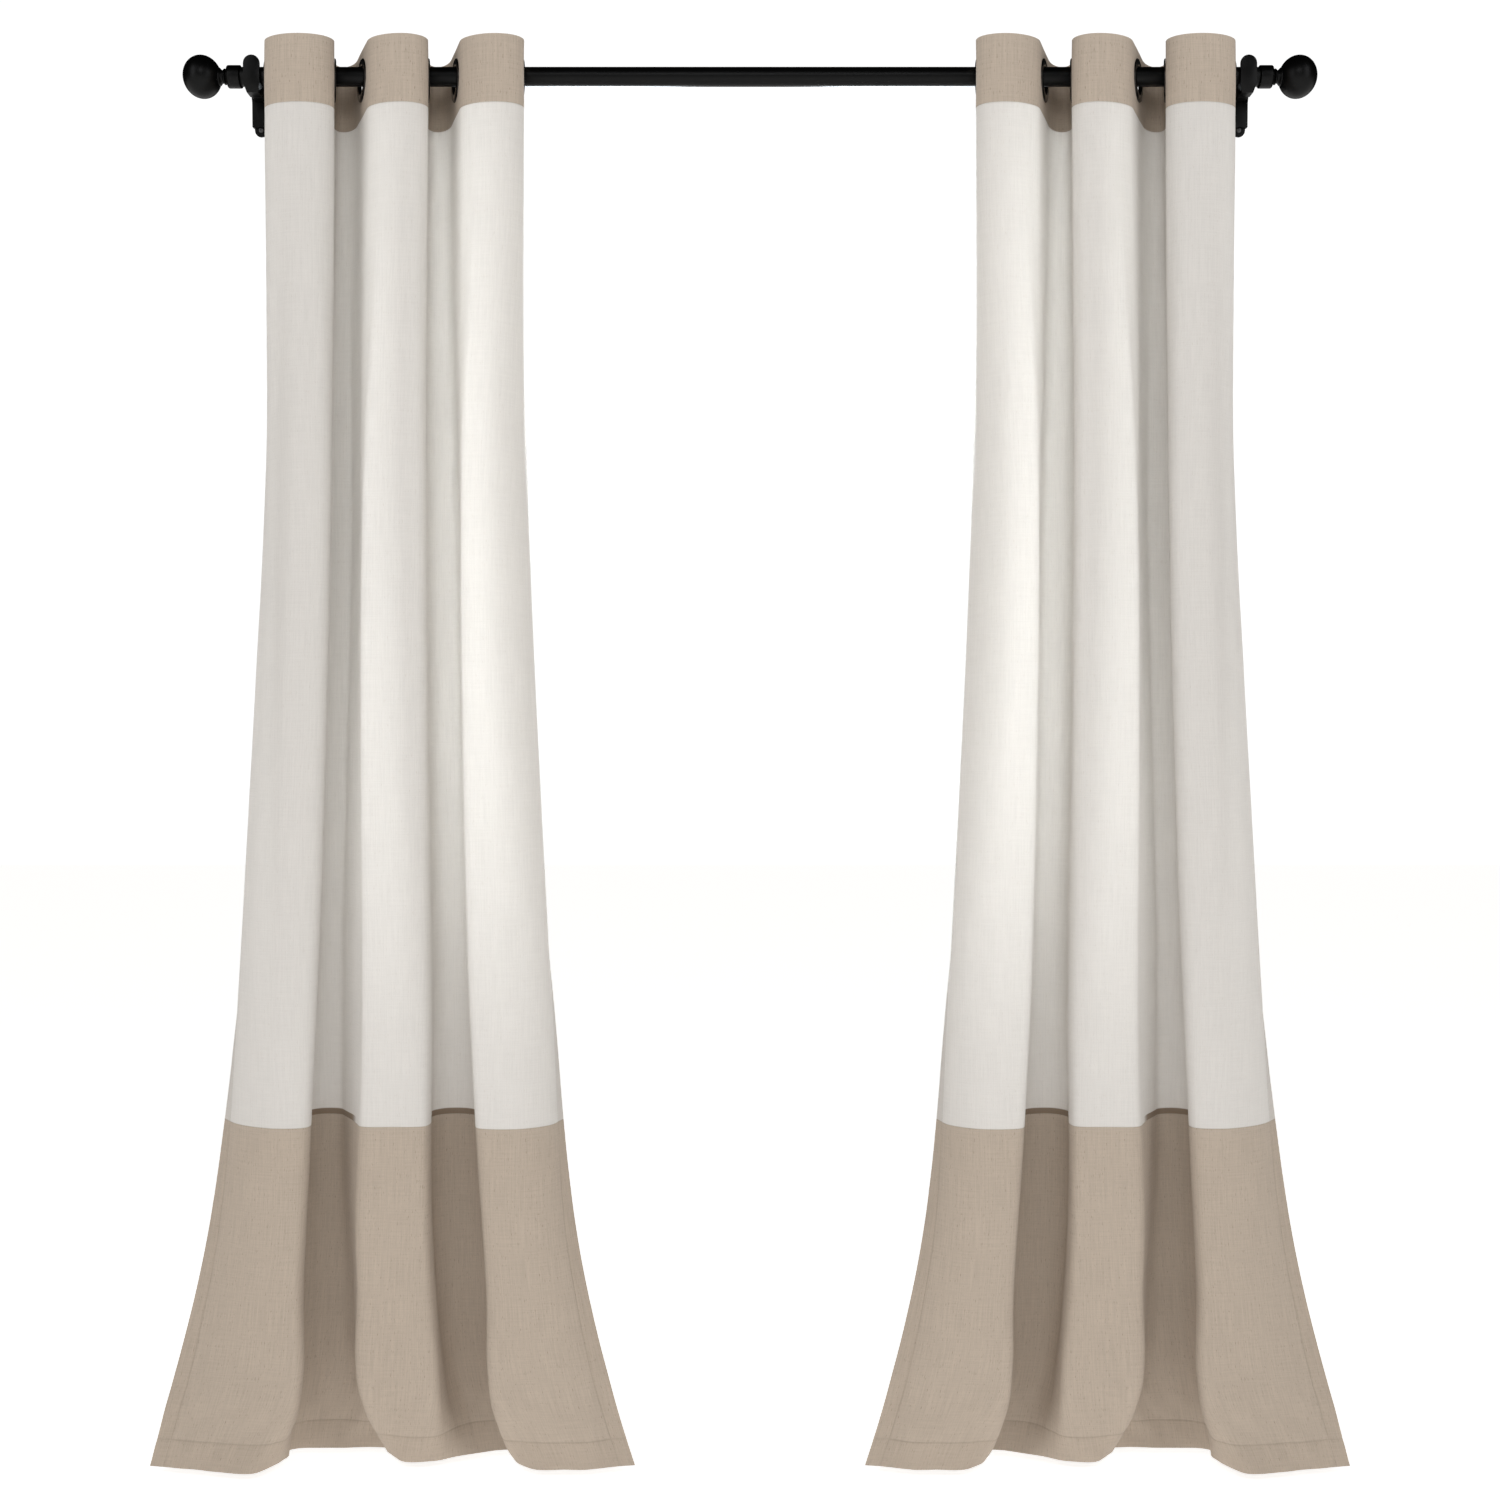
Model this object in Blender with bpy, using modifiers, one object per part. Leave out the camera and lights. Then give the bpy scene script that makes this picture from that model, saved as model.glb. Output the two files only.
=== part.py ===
"""A pair of grommet-top linen curtains on a wall-mounted rod with ball finials.

Metres, +Z up. The origin is on the wall plane, midway between the brackets and level
with the rod's axis. +X runs along the rod, and +Y goes into the wall.
"""

import math

import bmesh
import bpy
import numpy as np
from mathutils import Matrix, Vector

# Clearance between pieces that touch.
GAP = 0.0003

# The rod and what closes its ends.
ROD_DIAMETER = 0.0286
ROD_WALL = 0.0012
ROD_OVERHANG = 0.0345
PROJECTION = 0.090
ROD_SIDES = 32
FINIAL_SIDES = 24
FASTENER_SIDES = 12
PLUG_LENGTH = 0.022

# Brackets, each a wall plate, an arm, an upright and a cradle for the rod.
BRACKET_SPACING = 1.508
PLATE_WIDTH = 0.024
PLATE_HEIGHT = 0.089
PLATE_THICKNESS = 0.0035
PLATE_DROP = 0.0175
WALL_SCREW_OFFSET = 0.0345
WALL_SCREW_SHANK = 0.0045
WALL_SCREW_HEAD = 0.0088
WALL_SCREW_LENGTH = 0.030
COUNTERSINK = 0.0022
UPRIGHT_SETBACK = 0.036
UPRIGHT_THICKNESS = 0.006
UPRIGHT_WIDTH = 0.026
UPRIGHT_HEAD_WIDTH = 0.030
UPRIGHT_TOP = 0.004
UPRIGHT_FOOT = 0.0645
TONGUE_WIDTH = 0.020
TONGUE_THICKNESS = 0.003
TONGUE_END = 0.078
LOCK_SCREW_DROP = 0.0676
LOCK_SCREW_SHANK = 0.0040
LOCK_SCREW_HEAD = 0.0085
LOCK_SCREW_HEAD_HEIGHT = 0.0026
LOCK_SCREW_LENGTH = 0.012
ARM_WIDTH = 0.014
ARM_FRONT_TOP = 0.022
ARM_FRONT_FOOT = 0.0755
ARM_WALL_TOP = 0.006
ARM_WALL_FOOT = 0.042
CRADLE_WIDTH = 0.025
CRADLE_LIP = 0.0034
CRADLE_TAB_TOP = 0.0273
CRADLE_BASE = 0.0273
CRADLE_BASE_WIDTH = 0.0174
CRADLE_TAPER_START = 0.0145
CRADLE_NECK_WIDTH = 0.016

# Finials, each a ferrule over the rod's end, a turned neck, a ball and a stud.
FERRULE_WALL = 0.00225
FERRULE_LENGTH = 0.0175
FERRULE_END_WALL = 0.0027
STUD_RADIUS = 0.004
STUD_IN_PLUG = 0.018
STUD_IN_BALL = 0.014
NECK_LENGTH = 0.0150
NECK_RIM_RADIUS = 0.0132
NECK_WAIST_RADIUS = 0.0097
NECK_BEAD_RADIUS = 0.0120
BALL_RADIUS = 0.03175
BALL_LENGTH = 0.057

# Curtain panels, sewn from three pieces of cloth.
PANEL_LENGTH = 2.134
TOP_BAND = 0.1016
BOTTOM_BAND = 0.508
CLOTH_THICKNESS = 0.0012
CLOTH_FINENESS = 3
BRACKET_CLEARANCE = 0.00062
FRONT_FOLD = 0.099
BACK_FOLD = 0.0435
FRONT_DEPTH = 0.058
BACK_DEPTH = 0.064
GROMMET_SPACING = 0.1712
EDGE_TO_GROMMET = 0.080
STRAIGHT_MARGIN = 0.0025
LEAN = 0.21
FIRST_LEAN = 0.09
TOP_ZONE = 0.05

# Grommets, each a front ring with a barrel and a back ring that snaps over it.
GROMMETS = 6
GROMMET_BORE = 0.041
GROMMET_OUTER = 0.064
GROMMET_DROP = 0.046
BARREL_WALL = 0.0017
FLANGE = 0.0026
GROMMET_SIDES = 20

# Worked out from the sizes above. Heights are measured from the rod's axis.
ROD_RADIUS = ROD_DIAMETER / 2
ROD_Y = -PROJECTION
ROD_LENGTH = BRACKET_SPACING + 2 * ROD_OVERHANG
FERRULE_RADIUS = ROD_RADIUS + GAP + FERRULE_WALL
GROMMET_SAG = (GROMMET_BORE - ROD_DIAMETER) / 2 - GAP
PANEL_TOP = GROMMET_DROP - GROMMET_SAG
STRAIGHT = GROMMET_OUTER / 2 + STRAIGHT_MARGIN
GROMMET_REACH = GROMMET_OUTER / 2 * FIRST_LEAN + CLOTH_THICKNESS / 2 + GAP + FLANGE
FIRST_GROMMET_INSET = UPRIGHT_HEAD_WIDTH / 2 + GROMMET_REACH + BRACKET_CLEARANCE
FIRST_GROMMET = BRACKET_SPACING / 2 - FIRST_GROMMET_INSET

# The cloth's plan at four heights, outer edge to inner edge: the share of the drop, then
# for the edge, each grommet line and crest, and the other edge, how far it lies from the
# first grommet towards the window's middle and how far behind the rod's axis.
LOWER_PLANS = (
    (0.32, ((-0.013, 0.066), (-0.006, 0.000), (0.057, -0.064), (0.101, 0.004),
            (0.115, 0.066), (0.145, 0.000), (0.207, -0.064), (0.246, 0.004),
            (0.264, 0.066), (0.289, 0.000), (0.352, -0.066), (0.393, 0.000),
            (0.376, 0.070))),
    (0.67, ((-0.052, 0.030), (-0.033, -0.024), (0.030, -0.064), (0.083, -0.002),
            (0.108, 0.068), (0.140, 0.004), (0.205, -0.050), (0.255, 0.002),
            (0.281, 0.068), (0.306, -0.006), (0.368, -0.070), (0.421, -0.036),
            (0.430, 0.022))),
    (0.87, ((-0.098, -0.022), (-0.040, -0.050), (0.022, -0.066), (0.066, -0.012),
            (0.100, 0.052), (0.141, 0.010), (0.212, -0.040), (0.268, 0.002),
            (0.300, 0.052), (0.330, -0.004), (0.383, -0.064), (0.437, -0.052),
            (0.482, -0.018))),
    (1.00, ((-0.165, -0.047), (-0.086, -0.062), (0.003, -0.071), (0.034, -0.006),
            (0.105, 0.025), (0.176, 0.014), (0.224, -0.032), (0.296, -0.004),
            (0.342, 0.030), (0.366, 0.004), (0.404, -0.055), (0.480, -0.060),
            (0.560, -0.044))),
)
OUTER_FLAP = ((-0.002, 0.056), (0.006, 0.079))
INNER_FLAP = ((-0.0147, 0.058), (-0.017, 0.080))


def clear_scene():
    for obj in list(bpy.data.objects):
        bpy.data.objects.remove(obj, do_unlink=True)


def new_collection(name):
    collection = bpy.data.collections.new(name)
    bpy.context.scene.collection.children.link(collection)
    return collection


def new_material(name, colour, roughness, metallic=0.0):
    material = bpy.data.materials.new(name)
    material.use_nodes = True
    shader = material.node_tree.nodes["Principled BSDF"]
    shader.inputs["Base Color"].default_value = (*colour, 1.0)
    shader.inputs["Roughness"].default_value = roughness
    shader.inputs["Metallic"].default_value = metallic
    return material


clear_scene()
PARTS = new_collection("grommet_curtains_on_rod")
CUTTERS = new_collection("cutters")
BLACK_METAL = new_material("black_metal", (0.012, 0.011, 0.011), 0.38, 0.6)
SCREW_STEEL = new_material("screw_steel", (0.10, 0.10, 0.10), 0.32, 0.9)
GROMMET_FINISH = new_material("grommet_bronze", (0.016, 0.013, 0.012), 0.30, 0.7)
OATMEAL_LINEN = new_material("oatmeal_linen", (0.52, 0.44, 0.35), 0.9)
WHITE_LINEN = new_material("white_linen", (0.82, 0.80, 0.77), 0.9)


def add(name, mesh, material=None, place=None):
    """A new object, a part with a material or else a cutter."""
    obj = bpy.data.objects.new(name, mesh)
    if place is not None:
        obj.matrix_world = place
    if material is None:
        CUTTERS.objects.link(obj)
        obj.hide_render = True
        obj.display_type = "WIRE"
    else:
        PARTS.objects.link(obj)
        mesh.materials.clear()
        mesh.materials.append(material)
    return obj


def cut(obj, cutter, operation="DIFFERENCE"):
    modifier = obj.modifiers.new(f"{operation.lower()}_{cutter.name}", "BOOLEAN")
    modifier.operation = operation
    modifier.solver = "EXACT"
    modifier.object = cutter


def along(origin, direction, up=(0, 0, 1)):
    """The matrix that puts local +Z along a direction, with its origin at a point."""
    z = Vector(direction).normalized()
    x = Vector(up).cross(z).normalized()
    y = z.cross(x)
    turn = Matrix((x, y, z)).transposed().to_4x4()
    return Matrix.Translation(Vector(origin)) @ turn


def turned(name, profile, place, material=None, sides=ROD_SIDES, closed=True):
    """A profile of (radius, height) points, outer side top to bottom, spun about local Z.

    A closed profile makes a ring, and an open one starts and ends on the axis.
    """
    mesh = bpy.data.meshes.new(name)
    count = len(profile)
    edges = [(i, (i + 1) % count) for i in range(count if closed else count - 1)]
    mesh.from_pydata([(r, 0, z) for r, z in profile], edges, [])
    obj = add(name, mesh, material, place)
    screw = obj.modifiers.new("turn", "SCREW")
    screw.axis = "Z"
    screw.steps = sides
    screw.render_steps = sides
    screw.use_merge_vertices = True
    screw.merge_threshold = 0.00005
    screw.use_smooth_shade = True
    return obj


def plate(name, outline, depth, place, material=None):
    """A flat outline in the local XY plane, given depth along local Z from zero."""
    mesh = bpy.data.meshes.new(name)
    shape = bmesh.new()
    face = shape.faces.new([shape.verts.new((x, y, 0)) for x, y in outline])
    face.normal_update()
    if face.normal.z > 0:
        face.normal_flip()
    raised = bmesh.ops.extrude_face_region(shape, geom=[face])
    tops = [v for v in raised["geom"] if isinstance(v, bmesh.types.BMVert)]
    bmesh.ops.translate(shape, verts=tops, vec=(0, 0, depth))
    bmesh.ops.recalc_face_normals(shape, faces=shape.faces)
    shape.to_mesh(mesh)
    shape.free()
    return add(name, mesh, material, place)


def arc(centre, radius, start, end, steps):
    """Points along an arc, angles in degrees from local +X."""
    turns = [math.radians(start + (end - start) * i / steps) for i in range(steps + 1)]
    return [(centre[0] + radius * math.cos(a), centre[1] + radius * math.sin(a)) for a in turns]


# Facing the wall: local X is world X, local Y is world Z, and depth runs towards -Y.
def facing(x, y, z=0.0):
    return Matrix.Translation((x, y, z)) @ Matrix.Rotation(math.pi / 2, 4, "X")


# Side on: local X is world Y, local Y is world Z, and depth runs towards +X.
def side_on(x, y, z=0.0):
    turn = Matrix(((0, 0, 1), (1, 0, 0), (0, 1, 0))).to_4x4()
    return Matrix.Translation((x, y, z)) @ turn


# The rod


def build_rod():
    half = ROD_LENGTH / 2
    inner = ROD_RADIUS - ROD_WALL
    tube = ((ROD_RADIUS, half), (ROD_RADIUS, -half), (inner, -half), (inner, half))
    turned("rod_tube", tube, along((0, ROD_Y, 0), (1, 0, 0)), BLACK_METAL)
    outer = inner - GAP
    bore = STUD_RADIUS + GAP
    plug = ((outer, PLUG_LENGTH), (outer, 0), (bore, 0), (bore, PLUG_LENGTH))
    for side, name in SIDES:
        place = along((side * (half - PLUG_LENGTH), ROD_Y, 0), (side, 0, 0))
        turned(f"{name}_rod_plug", plug, place, BLACK_METAL, FINIAL_SIDES)


# Finials. Local Z runs outwards from the rod's end.


def ball_radius_at(distance):
    """The ball's radius at a distance from its centre along its length."""
    share = distance / (BALL_LENGTH / 2)
    return BALL_RADIUS * math.sqrt(max(0.0, 1 - share * share))


def ball_offset_at(radius):
    """How far from the ball's centre its surface has this radius."""
    return BALL_LENGTH / 2 * math.sqrt(1 - (radius / BALL_RADIUS) ** 2)


def build_finial(side, name):
    end = along((side * ROD_LENGTH / 2, ROD_Y, 0), (side, 0, 0))
    bore = STUD_RADIUS + GAP
    top = GAP + FERRULE_END_WALL
    foot = top - FERRULE_LENGTH
    inside = ROD_RADIUS + GAP
    ferrule = (
        (FERRULE_RADIUS, top), (FERRULE_RADIUS, foot), (inside, foot),
        (inside, GAP), (bore, GAP), (bore, top),
    )
    turned(f"{name}_finial_ferrule", ferrule, end, BLACK_METAL)

    start = top + GAP
    rim = start + NECK_LENGTH
    centre = rim + GAP + ball_offset_at(NECK_RIM_RADIUS)
    bore_end = centre - ball_offset_at(bore) - GAP
    middle_radius = (NECK_RIM_RADIUS + bore) / 2
    middle = centre - ball_offset_at(middle_radius) - GAP
    neck = (
        (bore, bore_end), (middle_radius, middle), (NECK_RIM_RADIUS, rim),
        (NECK_RIM_RADIUS * 0.95, start + NECK_LENGTH * 0.87),
        (NECK_WAIST_RADIUS, start + NECK_LENGTH * 0.62),
        (NECK_BEAD_RADIUS, start + NECK_LENGTH * 0.43),
        (NECK_WAIST_RADIUS, start + NECK_LENGTH * 0.24), (FERRULE_RADIUS, start), (bore, start),
    )
    turned(f"{name}_finial_neck", neck, end, BLACK_METAL, FINIAL_SIDES)

    socket = centre - ball_offset_at(bore)
    steps = 12
    first = math.asin(bore / BALL_RADIUS)
    angles = [first + (math.pi - first) * i / steps for i in range(steps + 1)]
    outside = [
        (BALL_RADIUS * math.sin(a), centre - BALL_LENGTH / 2 * math.cos(a)) for a in angles
    ]
    outside[-1] = (0.0, outside[-1][1])
    depth = socket + STUD_IN_BALL + GAP
    ball = [*reversed(outside), (bore, depth), (0.0, depth)]
    turned(f"{name}_finial_ball", ball, end, BLACK_METAL, FINIAL_SIDES, closed=False)

    low = -STUD_IN_PLUG
    high = socket + STUD_IN_BALL
    stud = ((0, high), (STUD_RADIUS, high), (STUD_RADIUS, low), (0, low))
    turned(f"{name}_finial_stud", stud, end, SCREW_STEEL, FASTENER_SIDES, closed=False)


# Brackets


def build_bracket(side, name):
    x = side * BRACKET_SPACING / 2

    half = PLATE_WIDTH / 2
    rise = PLATE_HEIGHT / 2 - half
    outline = arc((0, rise), half, 0, 180, 8) + arc((0, -rise), half, 180, 360, 8)
    wall_plate = plate(
        f"{name}_wall_plate", outline, PLATE_THICKNESS, facing(x, 0, -PLATE_DROP), BLACK_METAL
    )
    for offset, which in ((WALL_SCREW_OFFSET, "upper"), (-WALL_SCREW_OFFSET, "lower")):
        place = along((x, -PLATE_THICKNESS, offset - PLATE_DROP), (0, -1, 0))
        hole = WALL_SCREW_SHANK / 2 + GAP
        mouth = WALL_SCREW_HEAD / 2 + GAP
        slack = GAP / 2
        cutter = (
            (0, 2 * GAP), (mouth, 2 * GAP), (mouth, 0), (hole, -COUNTERSINK - slack),
            (hole, -2 * PLATE_THICKNESS), (0, -2 * PLATE_THICKNESS),
        )
        cut(wall_plate, turned(f"{name}_{which}_hole", cutter, place, None, FASTENER_SIDES, closed=False))
        head = WALL_SCREW_HEAD / 2
        shank = WALL_SCREW_SHANK / 2
        screw = (
            (0, 0), (head, 0), (shank, -COUNTERSINK),
            (shank, -WALL_SCREW_LENGTH * 0.85), (0, -WALL_SCREW_LENGTH),
        )
        turned(f"{name}_{which}_wall_screw", screw, place, SCREW_STEEL, FASTENER_SIDES, closed=False)

    front = ROD_Y + UPRIGHT_SETBACK
    back = front + UPRIGHT_THICKNESS
    half = UPRIGHT_WIDTH / 2
    head = UPRIGHT_HEAD_WIDTH / 2
    right = [(half - 0.001, -UPRIGHT_FOOT), (half, -UPRIGHT_FOOT + 0.001), (half, -0.034),
             (half + 0.0004, -0.026), (head - 0.0008, -0.018), (head, -0.012), (head, UPRIGHT_TOP)]
    outline = right + [(-px, pz) for px, pz in reversed(right)]
    upright = plate(
        f"{name}_upright", outline, UPRIGHT_THICKNESS, facing(x, back), BLACK_METAL
    )
    half = TONGUE_WIDTH / 2
    outline = [(half, -UPRIGHT_FOOT + 0.004), (-half, -UPRIGHT_FOOT + 0.004)]
    outline += arc((0, half - TONGUE_END), half, 180, 360, 8)
    tongue = plate(f"{name}_tongue", outline, TONGUE_THICKNESS, facing(x, back))
    cut(upright, tongue, "UNION")
    hole = LOCK_SCREW_SHANK / 2 + GAP
    place = along((x, back, -LOCK_SCREW_DROP), (0, -1, 0))
    reach = TONGUE_THICKNESS + LOCK_SCREW_HEAD_HEIGHT
    cutter = ((0, reach), (hole, reach), (hole, -GAP), (0, -GAP))
    cut(upright, turned(f"{name}_tongue_hole", cutter, place, None, FASTENER_SIDES, closed=False))
    recess = LOCK_SCREW_HEAD / 2 + GAP
    cutter = ((0, 2 * reach), (recess, 2 * reach), (recess, TONGUE_THICKNESS), (0, TONGUE_THICKNESS))
    cut(upright, turned(f"{name}_head_recess", cutter, place, None, FASTENER_SIDES, closed=False))
    head = LOCK_SCREW_HEAD / 2
    shank = LOCK_SCREW_SHANK / 2
    under = TONGUE_THICKNESS + GAP
    over = under + LOCK_SCREW_HEAD_HEIGHT
    screw = (
        (0, over), (head * 0.72, over - 0.0002), (head, under + 0.0009), (head, under),
        (shank, under), (shank, under - LOCK_SCREW_LENGTH), (0, under - LOCK_SCREW_LENGTH),
    )
    turned(f"{name}_lock_screw", screw, place, SCREW_STEEL, FASTENER_SIDES, closed=False)

    near = back + GAP
    far = -PLATE_THICKNESS - GAP
    outline = [(near, -ARM_FRONT_FOOT), (far, -ARM_WALL_FOOT), (far, ARM_WALL_TOP),
               (near, -ARM_FRONT_TOP)]
    arm = plate(f"{name}_arm", outline, ARM_WIDTH, side_on(x - ARM_WIDTH / 2, 0), BLACK_METAL)
    cutter = ((0, GAP), (hole, GAP), (hole, -LOCK_SCREW_LENGTH), (0, -LOCK_SCREW_LENGTH))
    cut(arm, turned(f"{name}_arm_hole", cutter, place, None, FASTENER_SIDES, closed=False))
    build_cradle(x, name)


def build_cradle(x, name):
    """An open saddle with a raised front tab: a side outline and a front outline, crossed."""
    seat = ROD_RADIUS + GAP
    lip = seat + CRADLE_LIP
    low = -CRADLE_BASE
    side_outline = [(-seat, CRADLE_TAB_TOP), (-lip, CRADLE_TAB_TOP), (-lip, -CRADLE_TAPER_START),
                    (-0.010, low), (0.010, low), (lip, -CRADLE_TAPER_START), (lip, UPRIGHT_TOP),
                    (seat, UPRIGHT_TOP)]
    side_outline += arc((0, 0), seat, 0, -180, 12)
    cradle = plate(
        f"{name}_cradle", side_outline, CRADLE_WIDTH * 1.2,
        side_on(x - CRADLE_WIDTH * 0.6, ROD_Y), BLACK_METAL,
    )
    half = CRADLE_WIDTH / 2
    base = CRADLE_BASE_WIDTH / 2
    front_outline = arc((0, CRADLE_TAB_TOP - half), half, 0, 180, 10)
    front_outline += [(-half, -CRADLE_TAPER_START), (-base, low - GAP), (base, low - GAP),
                      (half, -CRADLE_TAPER_START)]
    face = plate(f"{name}_cradle_face", front_outline, 3 * lip, facing(x, ROD_Y + 1.5 * lip))
    cut(cradle, face, "INTERSECT")
    half = CRADLE_NECK_WIDTH / 2
    start = lip - CRADLE_LIP / 2
    outline = [(start, low + 0.002), (UPRIGHT_SETBACK - GAP, low + 0.002),
               (UPRIGHT_SETBACK - GAP, -0.006), (start, -0.006)]
    neck = plate(f"{name}_cradle_neck", outline, 2 * half, side_on(x - half, ROD_Y))
    cut(cradle, neck, "UNION")


# Curtain panels. The plan curves are worked out for the left panel, in metres inward from
# the first grommet, and the right panel mirrors them.


def spline(points, steps):
    """A centripetal Catmull-Rom curve, as one array of points for each span."""
    knots = [np.array(p) for p in points]
    knots = [2 * knots[0] - knots[1], *knots, 2 * knots[-1] - knots[-2]]
    spans = []
    for i in range(1, len(knots) - 2):
        a, b, c, d = knots[i - 1 : i + 3]
        ts = np.cumsum([0, *(np.linalg.norm(q - p) ** 0.5 for p, q in ((a, b), (b, c), (c, d)))])
        t = np.linspace(ts[1], ts[2], steps + 1)[:, None]
        ab = ((ts[1] - t) * a + (t - ts[0]) * b) / (ts[1] - ts[0])
        bc = ((ts[2] - t) * b + (t - ts[1]) * c) / (ts[2] - ts[1])
        cd = ((ts[3] - t) * c + (t - ts[2]) * d) / (ts[3] - ts[2])
        abc = ((ts[2] - t) * ab + (t - ts[0]) * bc) / (ts[2] - ts[0])
        bcd = ((ts[3] - t) * bc + (t - ts[1]) * cd) / (ts[3] - ts[1])
        spans.append(((ts[2] - t) * abc + (t - ts[1]) * bcd) / (ts[2] - ts[1]))
    return spans


def spread(line, shares):
    """Points of a line at the given shares of its length."""
    steps = np.linalg.norm(np.diff(line, axis=0), axis=1)
    reach = np.concatenate(([0.0], np.cumsum(steps)))
    want = np.array(shares) * reach[-1]
    return np.stack([np.interp(want, reach, line[:, k]) for k in (0, 1)], axis=1)


def even(count):
    return [k / count for k in range(count + 1)]


def grommet_places():
    """How far each grommet is inward from the first, and how much its wall of cloth leans."""
    places = [0.0]
    for k in range(GROMMETS - 1):
        places.append(places[-1] + (BACK_FOLD if k % 2 else FRONT_FOLD))
    return list(zip(places, [FIRST_LEAN] + [LEAN] * (GROMMETS - 1)))


def top_plan(fineness):
    """The plan at the grommets: straight walls that lean, joined by half ellipses."""
    places = grommet_places()

    def wall(k, behind):
        inward, lean = places[k]
        return np.array((inward - lean * behind, behind))

    def flap(k, points):
        inward = places[k][0]
        ends = [np.array((inward + p, q)) for p, q in points]
        curve = np.vstack(spline([wall(k, 0), wall(k, STRAIGHT), *ends], 12)[1:])
        return np.vstack([wall(k, 0)[None], spread(curve, even(fineness))])

    spans = [flap(0, OUTER_FLAP)[::-1]]
    for k in range(GROMMETS - 1):
        way, depth = (1, BACK_DEPTH) if k % 2 else (-1, FRONT_DEPTH)
        start, end = wall(k, way * STRAIGHT), wall(k + 1, way * STRAIGHT)
        lean = (places[k][1] + places[k + 1][1]) / 2
        half = (end[0] - start[0]) / 2
        turn = np.linspace(0, math.pi, 16 * fineness + 1)
        out = way * (depth - STRAIGHT) * np.sin(turn)
        across = (start[0] + end[0]) / 2 - half * np.cos(turn) - lean * out
        crest = np.stack([across, way * STRAIGHT + out], axis=1)
        middle = 8 * fineness
        spans.append(np.vstack([wall(k, 0)[None], spread(crest[: middle + 1], even(fineness))]))
        spans.append(np.vstack([spread(crest[middle:], even(fineness)), wall(k + 1, 0)[None]]))
    spans.append(flap(GROMMETS - 1, INNER_FLAP))
    return spans


def lower_plan(points, fineness):
    spans = spline(points, 24)
    found = []
    for number, curve in enumerate(spans):
        outermost = number in (0, len(spans) - 1)
        straight = STRAIGHT / (EDGE_TO_GROMMET if outermost else GROMMET_SPACING / 2)
        shares = [0.0] + [straight + (1 - straight) * k for k in even(fineness)]
        if number % 2 == 0:
            shares = [1 - share for share in reversed(shares)]
        found.append(spread(curve, shares))
    return found


def joined(spans):
    return np.vstack([spans[0][:1], *(span[1:] for span in spans)])


def plans(fineness):
    """(share of the drop, plan) from top to hem, every plan with the same number of points."""
    top = joined(top_plan(fineness))
    lower = [(share, joined(lower_plan(points, fineness))) for share, points in LOWER_PLANS]
    return [(0.0, top), (TOP_ZONE, top), *lower]


def plan_at(levels, share):
    """The plan at any share of the drop: smooth between the levels, straight down at the top."""
    heights = [height for height, _ in levels]
    points = np.array([plan for _, plan in levels])
    slopes = np.zeros_like(points)
    for i in range(2, len(heights) - 1):
        above, below = heights[i] - heights[i - 1], heights[i + 1] - heights[i]
        rise, fall = (points[i] - points[i - 1]) / above, (points[i + 1] - points[i]) / below
        slopes[i] = (rise * below + fall * above) / (above + below)
    last = heights[-1] - heights[-2]
    slopes[-1] = 2 * (points[-1] - points[-2]) / last - slopes[-2]
    i = min(max(np.searchsorted(heights, share, side="right") - 1, 0), len(heights) - 2)
    h = heights[i + 1] - heights[i]
    t = (share - heights[i]) / h
    return (
        (2 * t**3 - 3 * t**2 + 1) * points[i] + (t**3 - 2 * t**2 + t) * h * slopes[i]
        + (3 * t**2 - 2 * t**3) * points[i + 1] + (t**3 - t**2) * h * slopes[i + 1]
    )


def cloth(name, side, high, low, rows, material, levels):
    """A band of cloth between two distances below the panel's top edge."""
    mesh = bpy.data.meshes.new(name)
    points = []
    for row in range(rows + 1):
        down = high + (low - high) * row / rows
        for inward, behind in plan_at(levels, down / PANEL_LENGTH):
            x = side * (FIRST_GROMMET - inward)
            points.append((x, ROD_Y + behind, PANEL_TOP - down))
    width = len(points) // (rows + 1)
    faces = []
    for row in range(rows):
        for column in range(width - 1):
            a = row * width + column
            faces.append((a, a + width, a + width + 1, a + 1))
    mesh.from_pydata(points, [], faces)
    band = add(name, mesh, material)
    shell = band.modifiers.new("thickness", "SOLIDIFY")
    shell.thickness = CLOTH_THICKNESS
    shell.offset = 0
    return band


def build_grommet(side, name, number, place, top_band):
    bore = GROMMET_BORE / 2
    barrel = bore + BARREL_WALL
    outer = GROMMET_OUTER / 2
    face = CLOTH_THICKNESS / 2 + GAP
    front = ((outer, face + FLANGE * 0.45), (outer, face), (barrel, face),
             (barrel, -face - FLANGE * 0.7), (bore, -face - FLANGE * 0.7),
             (bore, face + FLANGE * 0.8), ((bore + outer) / 2, face + FLANGE))
    turned(f"{name}_grommet_{number}_front", front, place, GROMMET_FINISH, GROMMET_SIDES)
    hole = barrel + GAP
    back = ((outer, -face), (outer, -face - FLANGE * 0.45), ((bore + outer) / 2, -face - FLANGE),
            (hole, -face - FLANGE * 0.75), (hole, -face))
    turned(f"{name}_grommet_{number}_back", back, place, GROMMET_FINISH, GROMMET_SIDES)
    deep = 3 * face
    cutter = ((0, deep), (hole, deep), (hole, -deep), (0, -deep))
    cutter_name = f"{name}_grommet_hole_{number}"
    cut(top_band, turned(cutter_name, cutter, place, None, GROMMET_SIDES, closed=False))


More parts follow.
